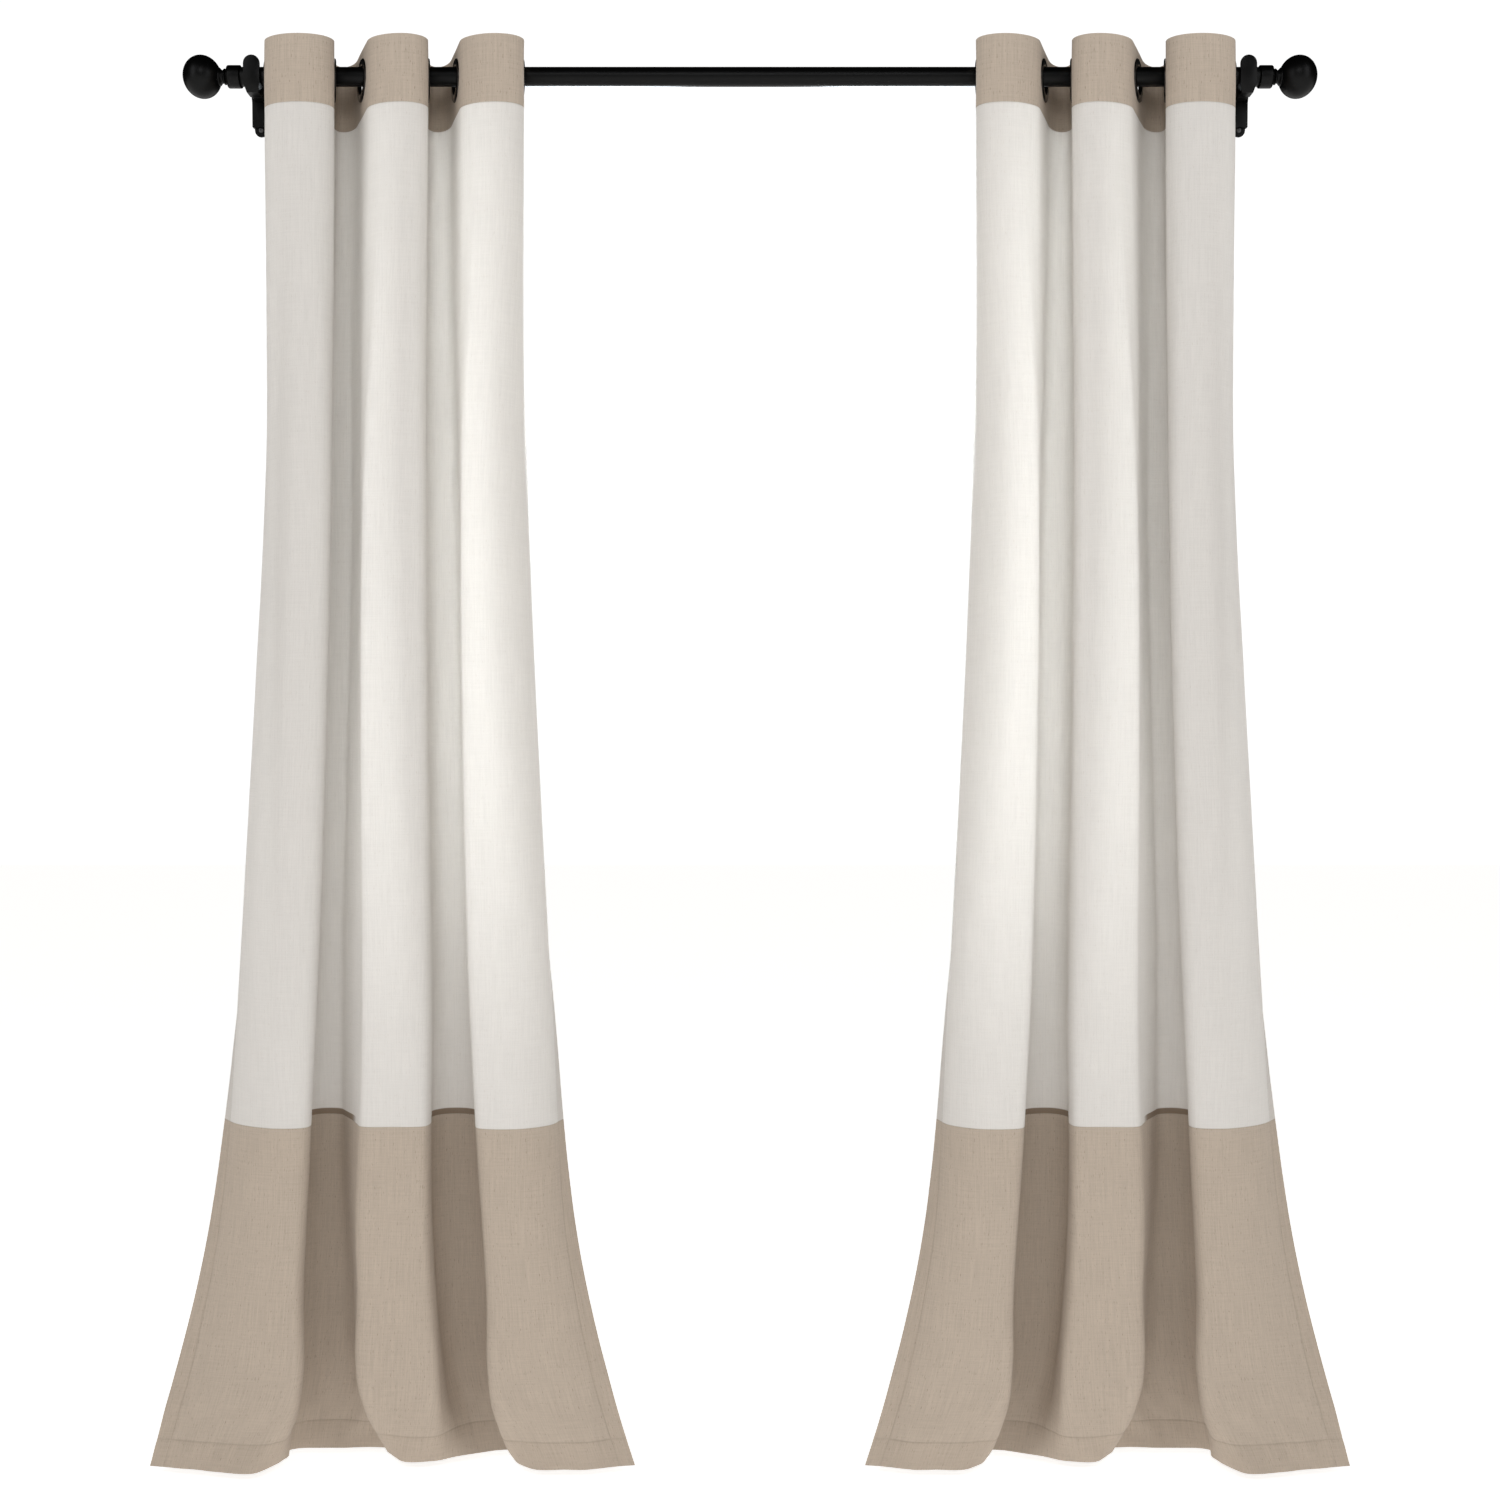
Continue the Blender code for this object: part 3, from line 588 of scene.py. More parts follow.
# The folds at four heights below the rings: the share of the drop, the outer edge and first
# grommet line, each fold's tip, the crisp edges where fold and hollow part, how far the cloth
# tucks back outwards at each of them, the hollows' depth, and the last line and inner edge.
# Places are inward from the first grommet, and behind the rod's axis.
FOLD_LEVELS = (
    (0.32, ((-0.013, 0.066), (-0.004, 0.000)), ((0.050, -0.066), (0.200, -0.064), (0.348, -0.066)),
     (0.1032, 0.1530, 0.2461, 0.2990), (0.021, 0.033, 0.017, 0.017), 0.062,
     ((0.393, 0.000), (0.376, 0.070))),
    (0.67, ((-0.052, 0.030), (-0.038, -0.020)), ((0.024, -0.064), (0.196, -0.056), (0.372, -0.070)),
     (0.0822, 0.1500, 0.2507, 0.3130), (0.019, 0.038, 0.004, 0.008), 0.046,
     ((0.428, -0.030), (0.430, 0.022))),
    (0.87, ((-0.098, -0.022), (-0.040, -0.052)), ((0.018, -0.067), (0.206, -0.050), (0.400, -0.066)),
     (0.0640, 0.1410, 0.2545, 0.3370), (0.019, 0.018, 0.003, 0.003), 0.042,
     ((0.446, -0.050), (0.482, -0.018))),
    (0.965, ((-0.146, -0.040), (-0.070, -0.058)), ((0.012, -0.070), (0.216, -0.044), (0.402, -0.062)),
     (0.0550, 0.1540, 0.2700, 0.3520), (0.018, 0.006, -0.008, 0.004), 0.036,
     ((0.474, -0.060), (0.536, -0.040))),
)
# The hem, from the outer edge by grommet lines and tips in turn to the inner edge. Each entry
# ends at one of these, after the points that the cloth passes on its way.
HEM_PLAN = (
    ((-0.165, -0.047),), ((-0.086, -0.062),), ((-0.002, -0.073),), ((0.031, -0.014),),
    ((0.025, 0.012), (0.046, 0.022), (0.100, 0.022)), ((0.184, 0.024), (0.179, 0.010)),
    ((0.224, -0.033),), ((0.290, -0.010),), ((0.345, 0.012),), ((0.371, 0.013), (0.367, 0.000)),
    ((0.404, -0.055),), ((0.480, -0.060),), ((0.560, -0.044),),
)
# A fold's section. Its front is nearly flat up to a shoulder, a share of its half width from
# each edge, and bows back a little there. The edges lie deeper. Its sides bend at a share of
# their tuck and end before the hollow's floor, which is nearly level after a share of its width.
SHOULDER = 0.11
FRONT_BOW = 0.004
EDGE_DEPTH = 0.020
SIDE_BEND = 0.45
HOLLOW_EDGE = 0.022
FLOOR_BEND = 0.42
FLOOR_BOW = 0.004
OUTER_FLAP = ((-0.002, 0.056), (0.006, 0.079))
INNER_FLAP = ((-0.0147, 0.058), (-0.017, 0.080))
PLAN_STEPS = 14


def spline(points, steps):
    """A centripetal Catmull-Rom curve, as one array of points for each span."""
    knots = [np.array(p) for p in points]
    knots = [2 * knots[0] - knots[1], *knots, 2 * knots[-1] - knots[-2]]
    spans = []
    for i in range(1, len(knots) - 2):
        a, b, c, d = knots[i - 1 : i + 3]
        ts = np.cumsum([0, *(np.linalg.norm(q - p) ** 0.5 for p, q in ((a, b), (b, c), (c, d)))])
        t = np.linspace(ts[1], ts[2], steps + 1)[:, None]
        ab = ((ts[1] - t) * a + (t - ts[0]) * b) / (ts[1] - ts[0])
        bc = ((ts[2] - t) * b + (t - ts[1]) * c) / (ts[2] - ts[1])
        cd = ((ts[3] - t) * c + (t - ts[2]) * d) / (ts[3] - ts[2])
        abc = ((ts[2] - t) * ab + (t - ts[0]) * bc) / (ts[2] - ts[0])
        bcd = ((ts[3] - t) * bc + (t - ts[1]) * cd) / (ts[3] - ts[1])
        spans.append(((ts[2] - t) * abc + (t - ts[1]) * bcd) / (ts[2] - ts[1]))
    return spans


def reach_along(line):
    """How far along a line each of its points is."""
    return np.concatenate(([0.0], np.cumsum(np.linalg.norm(np.diff(line, axis=0), axis=1))))


def spread(line, shares):
    """Points of a line at the given shares of its length."""
    reach = reach_along(line)
    want = np.array(shares) * reach[-1]
    return np.stack([np.interp(want, reach, line[:, k]) for k in (0, 1)], axis=1)


def grommet_places():
    """How far each grommet is inward from the first, and how much its wall of cloth leans."""
    places = [0.0]
    for k in range(GROMMETS - 1):
        places.append(places[-1] + (BACK_FOLD if k % 2 else FRONT_FOLD))
    return list(zip(places, LEANS))


def top_plan():
    """The plan at the grommets: straight walls that lean, joined by half ellipses."""
    places = grommet_places()
    even = np.linspace(0, 1, PLAN_STEPS + 1)

    def wall(k, behind):
        inward, lean = places[k]
        return np.array((inward - lean * behind, behind))

    def flap(k, points):
        ends = [np.array((places[k][0] + p, q)) for p, q in points]
        curve = np.vstack(spline([wall(k, 0), wall(k, STRAIGHT), *ends], 12)[1:])
        return np.vstack([wall(k, 0)[None], spread(curve, even)])

    spans = [flap(0, OUTER_FLAP)[::-1]]
    for k in range(GROMMETS - 1):
        way, depth = (1, BACK_DEPTH) if k % 2 else (-1, FRONT_DEPTH)
        start, end = wall(k, way * STRAIGHT), wall(k + 1, way * STRAIGHT)
        lean = (places[k][1] + places[k + 1][1]) / 2
        half = (end[0] - start[0]) / 2
        middle = 8 * PLAN_STEPS
        turn = np.linspace(0, math.pi, 2 * middle + 1)
        out = way * (depth - STRAIGHT) * np.sin(turn)
        across = (start[0] + end[0]) / 2 - half * np.cos(turn) - lean * out
        crest = np.stack([across, way * STRAIGHT + out], axis=1)
        spans.append(np.vstack([wall(k, 0)[None], spread(crest[: middle + 1], even)]))
        spans.append(np.vstack([spread(crest[middle:], even), wall(k + 1, 0)[None]]))
    spans.append(flap(GROMMETS - 1, INNER_FLAP))
    return spans


def fold_plan(outer, tips, edges, tucks, hollow, inner):
    """The plan at one height, from the folds' tips and the edges where they part."""
    knots = [outer[0], outer[1]]
    anchors = [0, 1]

    def anchor(point):
        anchors.append(len(knots))
        knots.append(point)

    def wall(edge, tuck, front, middle):
        """One side of a fold, from the shoulder by its tip to the bottom of the hollow."""
        towards = 1 if middle > edge else -1
        back = edge - tuck
        reach = abs(middle - back)
        return ((edge, front + EDGE_DEPTH), (edge - tuck * SIDE_BEND, (front + hollow) / 2),
                (back, hollow - HOLLOW_EDGE),
                (back + towards * reach * FLOOR_BEND, hollow - FLOOR_BOW))

    for k, (tip, front) in enumerate(tips):
        anchor((tip, front))
        if k == len(tips) - 1:
            break
        left, right = edges[2 * k], edges[2 * k + 1]
        middle = (left - tucks[2 * k] + right - tucks[2 * k + 1]) / 2
        next_tip, next_front = tips[k + 1]
        one = wall(left, tucks[2 * k], front, middle)
        two = wall(right, tucks[2 * k + 1], next_front, middle)
        knots.append((left - (left - tip) * SHOULDER, front + FRONT_BOW))
        knots.append(one[0])
        anchor(one[1])
        knots.extend(one[2:])
        anchor((middle, hollow))
        knots.extend(two[:1:-1])
        anchor(two[1])
        knots.append(two[0])
        knots.append((right + (next_tip - right) * SHOULDER, next_front + FRONT_BOW))
    for point in inner:
        anchor(point)
    return between(knots, anchors)


def between(knots, anchors):
    """The smooth curve through some knots, as even spans from anchor to anchor."""
    curves = spline(knots, 8)
    even = np.linspace(0, 1, PLAN_STEPS + 2)
    return [spread(joined(curves[a:b]), even) for a, b in zip(anchors, anchors[1:])]


def hem_plan():
    """The plan at the hem."""
    ends = np.cumsum([len(points) for points in HEM_PLAN]) - 1
    return between([point for points in HEM_PLAN for point in points], ends)


def joined(spans):
    """Spans that meet end to end, as one line."""
    return np.vstack([spans[0][:1], *(span[1:] for span in spans)])


def panel_levels():
    """(share of the drop, plan) from top to hem, every plan with the same number of points."""
    top = joined(top_plan())
    lower = [(share, joined(fold_plan(*level))) for share, *level in FOLD_LEVELS]
    return [(0.0, top), (TOP_ZONE, top), *lower, (1.0, joined(hem_plan()))]


def plan_at(levels, share):
    """The plan at any share of the drop: smooth between the levels, straight at the top."""
    heights = [height for height, _ in levels]
    points = np.array([plan for _, plan in levels])
    slopes = np.zeros_like(points)
    for i in range(2, len(heights) - 1):
        above, below = heights[i] - heights[i - 1], heights[i + 1] - heights[i]
        rise, fall = (points[i] - points[i - 1]) / above, (points[i + 1] - points[i]) / below
        slopes[i] = (rise * below + fall * above) / (above + below)
    last = heights[-1] - heights[-2]
    slopes[-1] = 2 * (points[-1] - points[-2]) / last - slopes[-2]
    i = min(max(np.searchsorted(heights, share, side="right") - 1, 0), len(heights) - 2)
    h = heights[i + 1] - heights[i]
    t = (share - heights[i]) / h
    return (
        (2 * t**3 - 3 * t**2 + 1) * points[i] + (t**3 - 2 * t**2 + t) * h * slopes[i]
        + (3 * t**2 - 2 * t**3) * points[i + 1] + (t**3 - t**2) * h * slopes[i + 1]
    )


def smooth(low, high, value):
    """0 below low and 1 above high, with a soft step between."""
    t = np.clip((np.asarray(value, float) - low) / (high - low), 0, 1)
    return t * t * (3 - 2 * t)


# The cloth as it lies flat: columns across it, rows down it, and the first column of each
# strip from grommet line to grommet line.
LINES = [EDGE_TO_GROMMET + k * GROMMET_SPACING for k in range(GROMMETS)]
STRIPS = [0.0, *LINES, PANEL_WIDTH]
COUNTS = [FLAP_COLUMNS] + [STRIP_COLUMNS] * (GROMMETS - 1) + [FLAP_COLUMNS]
STARTS = np.concatenate([[0], np.cumsum(COUNTS)])


def stepped(marks, steps):
    """Places from mark to mark, each stretch cut into even steps."""
    runs = zip(marks, marks[1:], steps)
    return np.concatenate([marks[:1], *(np.linspace(a, b, n + 1)[1:] for a, b, n in runs)])


HEM_COLUMNS = 6
FLAT_U = stepped(
    [0.0, SIDE_HEM, *LINES, PANEL_WIDTH - SIDE_HEM, PANEL_WIDTH],
    [HEM_COLUMNS, FLAP_COLUMNS - HEM_COLUMNS] + [STRIP_COLUMNS] * (GROMMETS - 1)
    + [FLAP_COLUMNS - HEM_COLUMNS, HEM_COLUMNS])
HEM_ROWS = 8
BANDS = (
    ("top_band", 0.0, TOP_BAND, 27),
    ("middle", TOP_BAND, SEAM, 190),
    ("bottom_band", SEAM, PANEL_LENGTH, 90),
)
ROW_STARTS = np.concatenate([[0], np.cumsum([n for *_, n in BANDS])])
FLAT_V = stepped(
    [0.0, TOP_BAND, SEAM, HEM_LINE, PANEL_LENGTH],
    [BANDS[0][3], BANDS[1][3], BANDS[2][3] - HEM_ROWS, HEM_ROWS])


def panel_middle():
    """The cloth's middle surface: inward from the first grommet, behind the rod, and down."""
    levels = panel_levels()
    per_span = PLAN_STEPS + 1
    marks = [0, *(per_span * (1 + 2 * k) for k in range(GROMMETS)), per_span * 2 * GROMMETS]
    rows = []
    for down in FLAT_V:
        line = plan_at(levels, down / PANEL_LENGTH)
        reach = reach_along(line)
        there = reach[marks] / reach[-1]
        even = np.array(STRIPS) / PANEL_WIDTH
        settle = smooth(TOP_ZONE, SETTLED, down / PANEL_LENGTH)
        there = there + (even - there) * settle
        shares = np.interp(FLAT_U, STRIPS, there)
        rows.append(spread(line, shares))
    return np.dstack([np.array(rows), np.broadcast_to(FLAT_V[:, None], (len(FLAT_V), len(FLAT_U)))])


def surface_normals(grid):
    """Unit normals of a grid of points, rows down and columns inward."""
    down = np.gradient(grid, axis=0)
    across = np.gradient(grid, axis=1)
    normals = np.cross(across, down)
    return normals / np.linalg.norm(normals, axis=2, keepdims=True)


def creases():
    """How far each point stands proud of the smooth surface, from the flat cloth's places."""
    relief = np.zeros((len(FLAT_V), len(FLAT_U)))
    crumpled = 0.0042 * smooth(0.90, 0.985, FLAT_V / PANEL_LENGTH)
    for i, v in enumerate(FLAT_V):
        drop = v / PANEL_LENGTH
        for j, u in enumerate(FLAT_U):
            long_wave = noise.noise(Vector((u * 9.0, v * 1.3, 3.7)))
            ripple = noise.noise(Vector((u * 26.0, v * 5.0, 9.1)))
            fine = noise.noise(Vector((u * 60.0, v * 22.0, 5.3)))
            crumple = noise.noise(Vector((u * 24.0 + v * 9.0, v * 17.0, 1.9)))
            relief[i, j] = (
                (0.0012 + 0.0016 * drop) * long_wave + (0.0005 + 0.0008 * drop**2) * ripple
                + (0.00016 + 0.00035 * drop**6) * fine + crumpled[i] * crumple
            )
    return relief


MIDDLE = panel_middle()
RELIEF = creases()
U, V = np.meshgrid(FLAT_U, FLAT_V)
ring_distance = np.min([np.hypot(U - line, V - GROMMET_DROP) for line in LINES], axis=0)
RELIEF *= smooth(0.034, 0.060, ring_distance)
side_distance = np.minimum(U, PANEL_WIDTH - U)
hem_distance = PANEL_LENGTH - V
side_stitch = np.exp(-((side_distance - SIDE_HEM) / 0.0030) ** 2)
hem_stitch = np.exp(-((hem_distance - BOTTOM_HEM) / 0.0040) ** 2)
FRONT_RELIEF = -FURROW * (side_stitch + hem_stitch)
HEMMED = np.maximum(1 - smooth(SIDE_HEM, SIDE_HEM + 0.003, side_distance),
                    1 - smooth(BOTTOM_HEM, BOTTOM_HEM + 0.004, hem_distance))
HEADER = (V <= TOP_BAND + 1e-9).astype(float)
HALF_CLOTH = 0.00045 + 0.00015 * HEADER
BACK_EXTRA = HEM_EXTRA * HEMMED * (1 - HEADER)


def linen_weave():
    """Colour, roughness and relief of slubbed linen: threads both ways, streaks and flecks."""
    group, given, out = new_group(
        "linen_weave",
        {"Colour": "Color", "Fleck Colour": "Color", "Streaks": "Float", "Flecks": "Float",
         "Thread": "Float", "Relief": "Float"},
        {"Colour": "Color", "Roughness": "Float", "Normal": "Vector", "Doubled Shade": "Float"})

    def times(a, b):
        return maths(group, "MULTIPLY", a, b)

    def plus(a, b):
        return maths(group, "ADD", a, b)

    def minus(a, b):
        return maths(group, "SUBTRACT", a, b)

    flat = new_node(group, "ShaderNodeUVMap", uv_map="cloth").outputs[0]
    across, down, _ = new_node(group, "ShaderNodeSeparateXYZ", {0: flat}).outputs

    def line(distance, width):
        """1 on a line sewn into the cloth, falling to 0 at a width from it."""
        return ramp(group, maths(group, "ABSOLUTE", distance), 0.0, width, 1.0, 0.0, "SMOOTHSTEP")

    half = PANEL_WIDTH / 2
    from_side = minus(half, maths(group, "ABSOLUTE", minus(across, half)))
    sewn = [
        line(minus(from_side, SIDE_HEM), 0.0024),
        line(minus(down, HEM_LINE), 0.0026),
        line(minus(down, TOP_BAND), 0.0016),
        line(minus(down, SEAM), 0.0016),
    ]
    furrow = sewn[0]
    for other in sewn[1:]:
        furrow = maths(group, "MAXIMUM", furrow, other)

    def streaks(crosswise, lengthwise, detail, seed):
        scaled = new_node(group, "ShaderNodeMapping", {
            "Vector": flat, "Location": (seed, seed * 1.7, 0),
            "Scale": (crosswise, lengthwise, 1)})
        return new_node(group, "ShaderNodeTexNoise", {
            "Vector": scaled.outputs[0], "Scale": 1.0, "Detail": detail, "Roughness": 0.6},
            noise_dimensions="2D").outputs["Fac"]

    warp = streaks(520.0, 16.0, 3.0, 0.0)
    weft = streaks(22.0, 620.0, 3.0, 7.0)
    broad = streaks(5.0, 2.2, 2.0, 3.0)
    slub = streaks(900.0, 110.0, 1.0, 11.0)
    both = plus(times(warp, 0.62), times(weft, 0.38))
    threads = ramp(group, both, 0.36, 0.64, -0.5, 0.5)
    cloudy = times(minus(broad, 0.5), 0.35)
    tone = plus(times(threads, given["Streaks"]), times(cloudy, given["Streaks"]))
    # Painted shade: the colour is 7% darker in the stitched furrows and along the seams.
    level = minus(plus(1.0, tone), times(furrow, 0.07))

    def inside(value, low, high):
        """1 where a value is between two places, with a soft step of 1 mm at each."""
        soft = 0.0005
        rise = ramp(group, value, low - soft, low + soft)
        return times(rise, ramp(group, value, high - soft, high + soft, 1.0, 0.0))

    # Painted shade: in the hollows only, a 9 mm band above the seam darkens where the allowance behind
    # blocks light coming through.
    hollow = new_node(group, "ShaderNodeAttribute", attribute_name="hollow").outputs["Fac"]
    allowance_shade = times(inside(down, SEAM - SEAM_ALLOWANCE, SEAM), hollow)
    # Painted shade: the hems, two layers thick, are tinted 16% towards the shade colour, as less light
    # comes through them.
    side_hem = times(inside(from_side, -1.0, SIDE_HEM), inside(down, TOP_BAND, PANEL_LENGTH + 1))
    bottom_hem = inside(down, HEM_LINE, PANEL_LENGTH + 1)
    hems = times(maths(group, "MAXIMUM", side_hem, bottom_hem), 0.16)
    doubled_shade = maths(group, "MAXIMUM", allowance_shade, hems)
    toned_and_furrow_shaded = new_node(group, "ShaderNodeVectorMath", {0: given["Colour"], 3: level}, operation="SCALE")
    amount = times(ramp(group, slub, 0.70, 0.80), given["Flecks"])
    mixed = new_node(group, "ShaderNodeMix", {
        0: amount, 6: toned_and_furrow_shaded.outputs[0], 7: given["Fleck Colour"]}, data_type="RGBA")

    turn = maths(group, "DIVIDE", math.pi, given["Thread"])
    wander = times(warp, 1.2)
    over = maths(group, "SINE", plus(times(across, turn), wander))
    under = maths(group, "SINE", plus(times(down, turn), wander))
    woven = times(over, under)
    raised = plus(woven, times(both, 2.2))
    sunk = new_node(group, "ShaderNodeBump", {
        "Strength": 0.6, "Distance": 0.0007, "Height": minus(1.0, furrow)})
    bump = new_node(group, "ShaderNodeBump", {
        "Strength": given["Relief"], "Distance": 0.00025, "Height": raised,
        "Normal": sunk.outputs[0]})
    rough = maths(group, "ADD", 0.86, times(warp, 0.12), clamp=True)
    feed(group, out, {"Colour": mixed.outputs[2], "Roughness": rough, "Normal": bump.outputs[0],
                      "Doubled Shade": doubled_shade})
    return group


LINEN_WEAVE = linen_weave()


def linen(name, colour, fleck, streaks, flecks, shade, glow):
    """A linen. shade is the colour of the painted shade on double layers of cloth, glow how much light
    comes through.
    """
    material, tree, shader = new_material(name)
    weave = placed_group(tree, LINEN_WEAVE, {
        "Colour": (*colour, 1), "Fleck Colour": (*fleck, 1), "Streaks": streaks,
        "Flecks": flecks, "Thread": 0.00072, "Relief": 0.35})
    # Painted shade: the colour is multiplied towards shade where the cloth lies double and where the
    # seam allowance shows in the hollows.
    shaded_colour = new_node(tree, "ShaderNodeMix", {
        0: weave["Doubled Shade"], 6: weave["Colour"], 7: (*shade, 1)},
        data_type="RGBA", blend_type="MULTIPLY")
    feed(tree, shader, {
        "Base Color": shaded_colour.outputs[2], "Roughness": weave["Roughness"],
        "Normal": weave["Normal"], "Specular IOR Level": 0.25, "Sheen Weight": 0.08,
        "Sheen Roughness": 0.5})
    through = new_node(tree, "ShaderNodeBsdfTranslucent", {
        "Color": shaded_colour.outputs[2], "Normal": weave["Normal"]})
    mixed = new_node(tree, "ShaderNodeMixShader", {
        0: glow, 1: shader.outputs[0], 2: through.outputs[0]})
    feed(tree, tree.nodes["Material Output"], {"Surface": mixed.outputs[0]})
    return material


OATMEAL_LINEN = linen(
    "oatmeal_linen", (0.500, 0.420, 0.342), fleck=(0.16, 0.11, 0.08), streaks=0.15,
    flecks=0.55, shade=(0.90, 0.87, 0.84), glow=0.10)
WHITE_LINEN = linen(
    "white_linen", (0.838, 0.814, 0.783), fleck=(0.55, 0.48, 0.40), streaks=0.06,
    flecks=0.25, shade=(0.40, 0.32, 0.25), glow=0.36)

# Hem stitches. One row of lockstitch in thread of the band's own colour holds down each side
# hem and the bottom hem, and lies in the furrow that it pulls into the cloth.

OATMEAL_THREAD = coated_material(
    "oatmeal_thread", (0.43, 0.36, 0.29), (0.50, 0.43, 0.36), wear=0.5, roughness=0.6, relief=0.4)
WHITE_THREAD = coated_material(
    "white_thread", (0.78, 0.76, 0.73), (0.84, 0.82, 0.79), wear=0.5, roughness=0.6, relief=0.4)
STITCH_SIZES = {"Spacing": 0.0036, "Length": 0.0028, "Thickness": 0.0006}
STITCH_PROUD = 0.0001
HEM_ROW = len(FLAT_V) - 1 - HEM_ROWS


def stitch_maker():
    """Geometry Nodes: a thread's stitches, one after another along the edges of a mesh."""
    group, given, out = new_group(
        "hem_stitches",
        {"Geometry": "Geometry", "Spacing": "Float", "Length": "Float", "Thickness": "Float",
         "Seed": "Int", "Thread": "Material"},
        {"Geometry": "Geometry"}, "GeometryNodeTree")
    inputs = [item for item in group.interface.items_tree if item.in_out == "INPUT"]
    curve = new_node(group, "GeometryNodeMeshToCurve", {"Mesh": given["Geometry"]})
    even = new_node(group, "GeometryNodeResampleCurve", {
        "Curve": curve.outputs[0], "Length": given["Spacing"]}, mode="LENGTH")
    points = new_node(group, "GeometryNodeCurveToPoints", {"Curve": even.outputs[0]}, mode="EVALUATED")
    facing = new_node(group, "FunctionNodeAlignRotationToVector", {
        "Vector": points.outputs["Tangent"]}, axis="Z")
    uneven = new_node(group, "FunctionNodeRandomValue", {
        2: 0.86, 3: 1.08, "Seed": given["Seed"]}, data_type="FLOAT")
    length = maths(group, "MULTIPLY", given["Length"], uneven.outputs[1])
    size = new_node(group, "ShaderNodeCombineXYZ", {
        0: given["Thickness"], 1: given["Thickness"], 2: length})
    stitch = new_node(group, "GeometryNodeMeshUVSphere", {"Segments": 7, "Rings": 5, "Radius": 0.5})
    laid = new_node(group, "GeometryNodeInstanceOnPoints", {
        "Points": points.outputs["Points"], "Instance": stitch.outputs["Mesh"],
        "Rotation": facing.outputs[0], "Scale": size.outputs[0]})
    real = new_node(group, "GeometryNodeRealizeInstances", {0: laid.outputs[0]})
    smoothed = new_node(group, "GeometryNodeSetShadeSmooth", {0: real.outputs[0]})
    painted = new_node(group, "GeometryNodeSetMaterial", {
        "Geometry": smoothed.outputs[0], "Material": given["Thread"]})
    feed(group, out, {"Geometry": painted.outputs[0]})
    return group, {item.name: item.identifier for item in inputs}


STITCHES, STITCH_INPUTS = stitch_maker()


def sewn_lines(name, runs, thread, seed):
    """The stitches along some runs of points, as one plain mesh object."""
    mesh = bpy.data.meshes.new(name)
    points = [tuple(p) for run in runs for p in run]
    ends = np.cumsum([len(run) for run in runs])
    edges = [(k, k + 1) for k in range(len(points) - 1) if k + 1 not in ends]
    mesh.from_pydata(points, edges, [])
    obj = new_object(name, mesh)
    sewing = obj.modifiers.new("sewing", "NODES")
    sewing.node_group = STITCHES
    for socket, value in {**STITCH_SIZES, "Seed": seed, "Thread": thread}.items():
        sewing[STITCH_INPUTS[socket]] = value
    return finished(obj)


def hem_runs(grids, band, strip):
    """The runs of stitches on one piece of cloth, just proud of its front."""
    front, _, normals = grids
    proud = front + STITCH_PROUD * normals
    c0, c1 = STARTS[strip], STARTS[strip + 1]
    r0, r1 = ROW_STARTS[band], min(ROW_STARTS[band + 1], HEM_ROW)
    outer, inner = HEM_COLUMNS, len(FLAT_U) - 1 - HEM_COLUMNS
    runs = []
    if band == len(BANDS) - 1:
        runs.append(proud[HEM_ROW, max(c0, outer) : min(c1, inner) + 1])
    if strip == 0:
        runs.append(proud[r0 : r1 + 1, outer])
    if strip == GROMMETS:
        runs.append(proud[r0 : r1 + 1, inner])
    return runs

# The panels hung. Each band is seven strips, from grommet line to grommet line. The outermost
# strips move with the first ring and the last. For the others the planes where each would start
# and end turning between its two rings are worked out, but the strips stay fixed where they hang.

HOLE_RADIUS = 0.0235
HOLE_DEPTH = 0.01
BAND_FINISH = {
    "top_band": (OATMEAL_LINEN, OATMEAL_THREAD, "oatmeal_linen"),
    "middle": (WHITE_LINEN, WHITE_THREAD, "white_linen"),
    "bottom_band": (OATMEAL_LINEN, OATMEAL_THREAD, "oatmeal_linen"),
}

# Painted shade: the real seam allowance behind the white cloth darkens it in the hollows only, where
# light shines through.
HOLLOW = smooth(-0.03, 0.0, MIDDLE[..., 1]) * (side_distance > EDGE_TO_GROMMET)


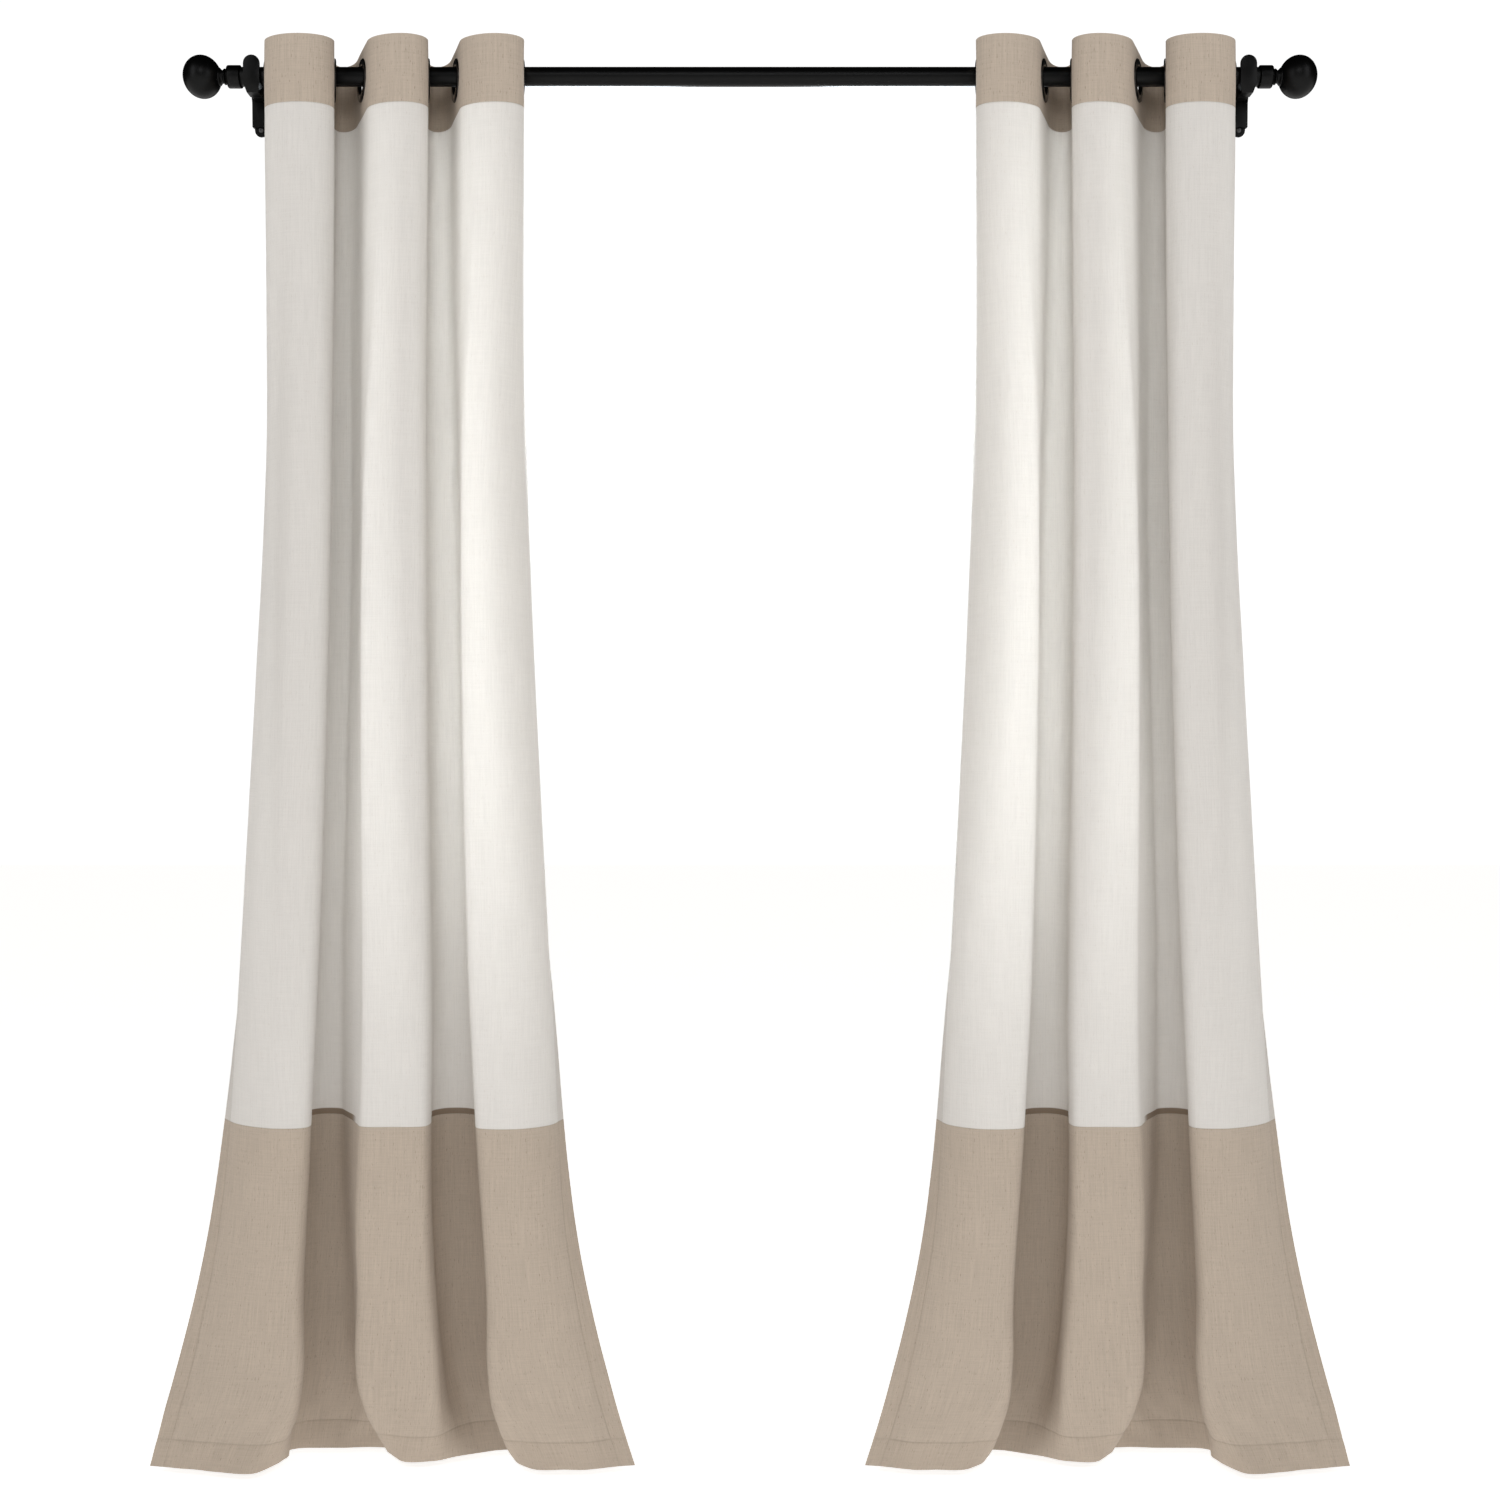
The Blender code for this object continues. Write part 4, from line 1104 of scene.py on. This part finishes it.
def strip_mesh(name, side, grids, rows, columns, kept):
    """A closed shell of cloth between two rows and two columns, with the panel's own normals."""
    r0, r1 = rows
    c0, c1 = columns
    height, width = r1 - r0 + 1, c1 - c0 + 1
    half = height * width

    def cut(grid):
        return grid[r0 : r1 + 1, c0 : c1 + 1].reshape(half, -1)

    front, back, facing = (cut(grid) for grid in grids)
    points = np.vstack([front, back])
    flat = cut(np.dstack([U, V]))
    hollow = cut(HOLLOW)[:, 0]
    kept = kept[r0:r1, c0:c1]
    faces = []
    loop_normals = []

    def face(corners, kind):
        """One face: kind is 1 on the front, -1 on the back and 0 on an edge."""
        faces.append(corners if side < 0 else corners[::-1])
        for corner in faces[-1]:
            loop_normals.append(kind * facing[corner % half] if kind else np.zeros(3))

    for r, c in zip(*np.nonzero(kept)):
        a = r * width + c
        b, d, e = a + width, a + width + 1, a + 1
        face((a, b, d, e), 1)
        face((a + half, e + half, d + half, b + half), -1)
        beyond = ((a, e, r - 1, c), (e, d, r, c + 1), (d, b, r + 1, c), (b, a, r, c - 1))
        for one, two, nr, nc in beyond:
            inside = 0 <= nr < height - 1 and 0 <= nc < width - 1
            if not (inside and kept[nr, nc]):
                face((one, two, two + half, one + half), 0)
    used, index = np.unique(np.concatenate([np.array(f) for f in faces]), return_inverse=True)
    mesh = bpy.data.meshes.new(name)
    cuts = np.cumsum([len(f) for f in faces])[:-1]
    mesh.from_pydata(points[used].tolist(), [], [f.tolist() for f in np.split(index, cuts)])
    mesh.shade_smooth()
    layer = mesh.uv_layers.new(name="cloth")
    layer.data.foreach_set("uv", flat[used[index] % half].astype(np.float32).ravel())
    shade = mesh.attributes.new("hollow", "FLOAT", "POINT")
    shade.data.foreach_set("value", hollow[used % half].astype(np.float32))
    mesh.normals_split_custom_set([tuple(n) for n in loop_normals])
    return mesh


DOWN_SLANTS = np.linspace(-0.16, 0.16, 33)
BACK_SLANTS = np.linspace(-0.6, 0.6, 25)


def turning_slab(left_line, right_line):
    """Where a strip starts to turn, past its left line, and where it ends, before its right one.

    The planes through the two points slant down and back as keeps them furthest apart.
    """
    best = None
    for down in DOWN_SLANTS:
        for behind in BACK_SLANTS:
            way = np.array((1.0, behind, down))
            first, last = (left_line @ way).max(), (right_line @ way).min()
            width = (last - first) / np.linalg.norm(way)
            if best is None or width > best[0]:
                best = (width, way, first, last)
    _, way, first, last = best
    size = way @ way
    return way * first / size, way * last / size


def panel_grids(side):
    """The front and back points and the normals of one panel, where it hangs."""
    grid = np.dstack([
        side * (FIRST_GROMMET - MIDDLE[..., 0]), ROD_Y + MIDDLE[..., 1], PANEL_TOP - MIDDLE[..., 2]])
    normals = side * surface_normals(grid)
    grid = grid + normals * RELIEF[..., None]
    normals = side * surface_normals(grid)
    front = grid + normals * (HALF_CLOTH + FRONT_RELIEF)[..., None]
    back = grid - normals * (HALF_CLOTH + BACK_EXTRA)[..., None]
    return front, back, side * surface_normals(front)


for side, name in SIDES:
    grids = panel_grids(side)
    centre_line = (grids[0] + grids[1]) / 2
    kept = np.ones((len(FLAT_V) - 1, len(FLAT_U) - 1), bool)
    for number in range(1, GROMMETS + 1):
        centre, axis = GROMMET_AXES[name, number]
        away = centre_line - np.array(centre)
        axial = away @ np.array(axis)
        off_axis = np.linalg.norm(away - axial[..., None] * np.array(axis), axis=2)
        near = (off_axis < HOLE_RADIUS) & (np.abs(axial) < HOLE_DEPTH)
        for dr in (0, 1):
            for dc in (0, 1):
                kept &= ~near[dr : dr + len(FLAT_V) - 1, dc : dc + len(FLAT_U) - 1]
    for strip in range(GROMMETS + 1):
        c0, c1 = STARTS[strip], STARTS[strip + 1]
        if 0 < strip < GROMMETS:
            mirror = (-side, 1, 1)
            start, end = turning_slab(centre_line[:, c0] * mirror, centre_line[:, c1] * mirror)
            start, end = start * mirror, end * mirror
        for b, (band, high, low, _) in enumerate(BANDS):
            material, thread, slot = BAND_FINISH[band]
            piece_name = f"{name}_{band}_{strip + 1}"
            rows = (ROW_STARTS[b], ROW_STARTS[b + 1])
            mesh = strip_mesh(piece_name, side, grids, rows, (c0, c1), kept)
            piece = new_object(piece_name, mesh, material)
            if strip == 0:
                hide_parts(f"{name}_{band}")
            pieces = [piece]
            runs = hem_runs(grids, b, strip)
            if runs:
                pieces.append(sewn_lines(f"{name}_{band}_stitches_{strip + 1}", runs, thread, strip))
            for each in pieces:
                if 0 < strip < GROMMETS:
                    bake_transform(each)
                else:
                    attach(each, f"{name}_grommet_{max(strip, 1)}")
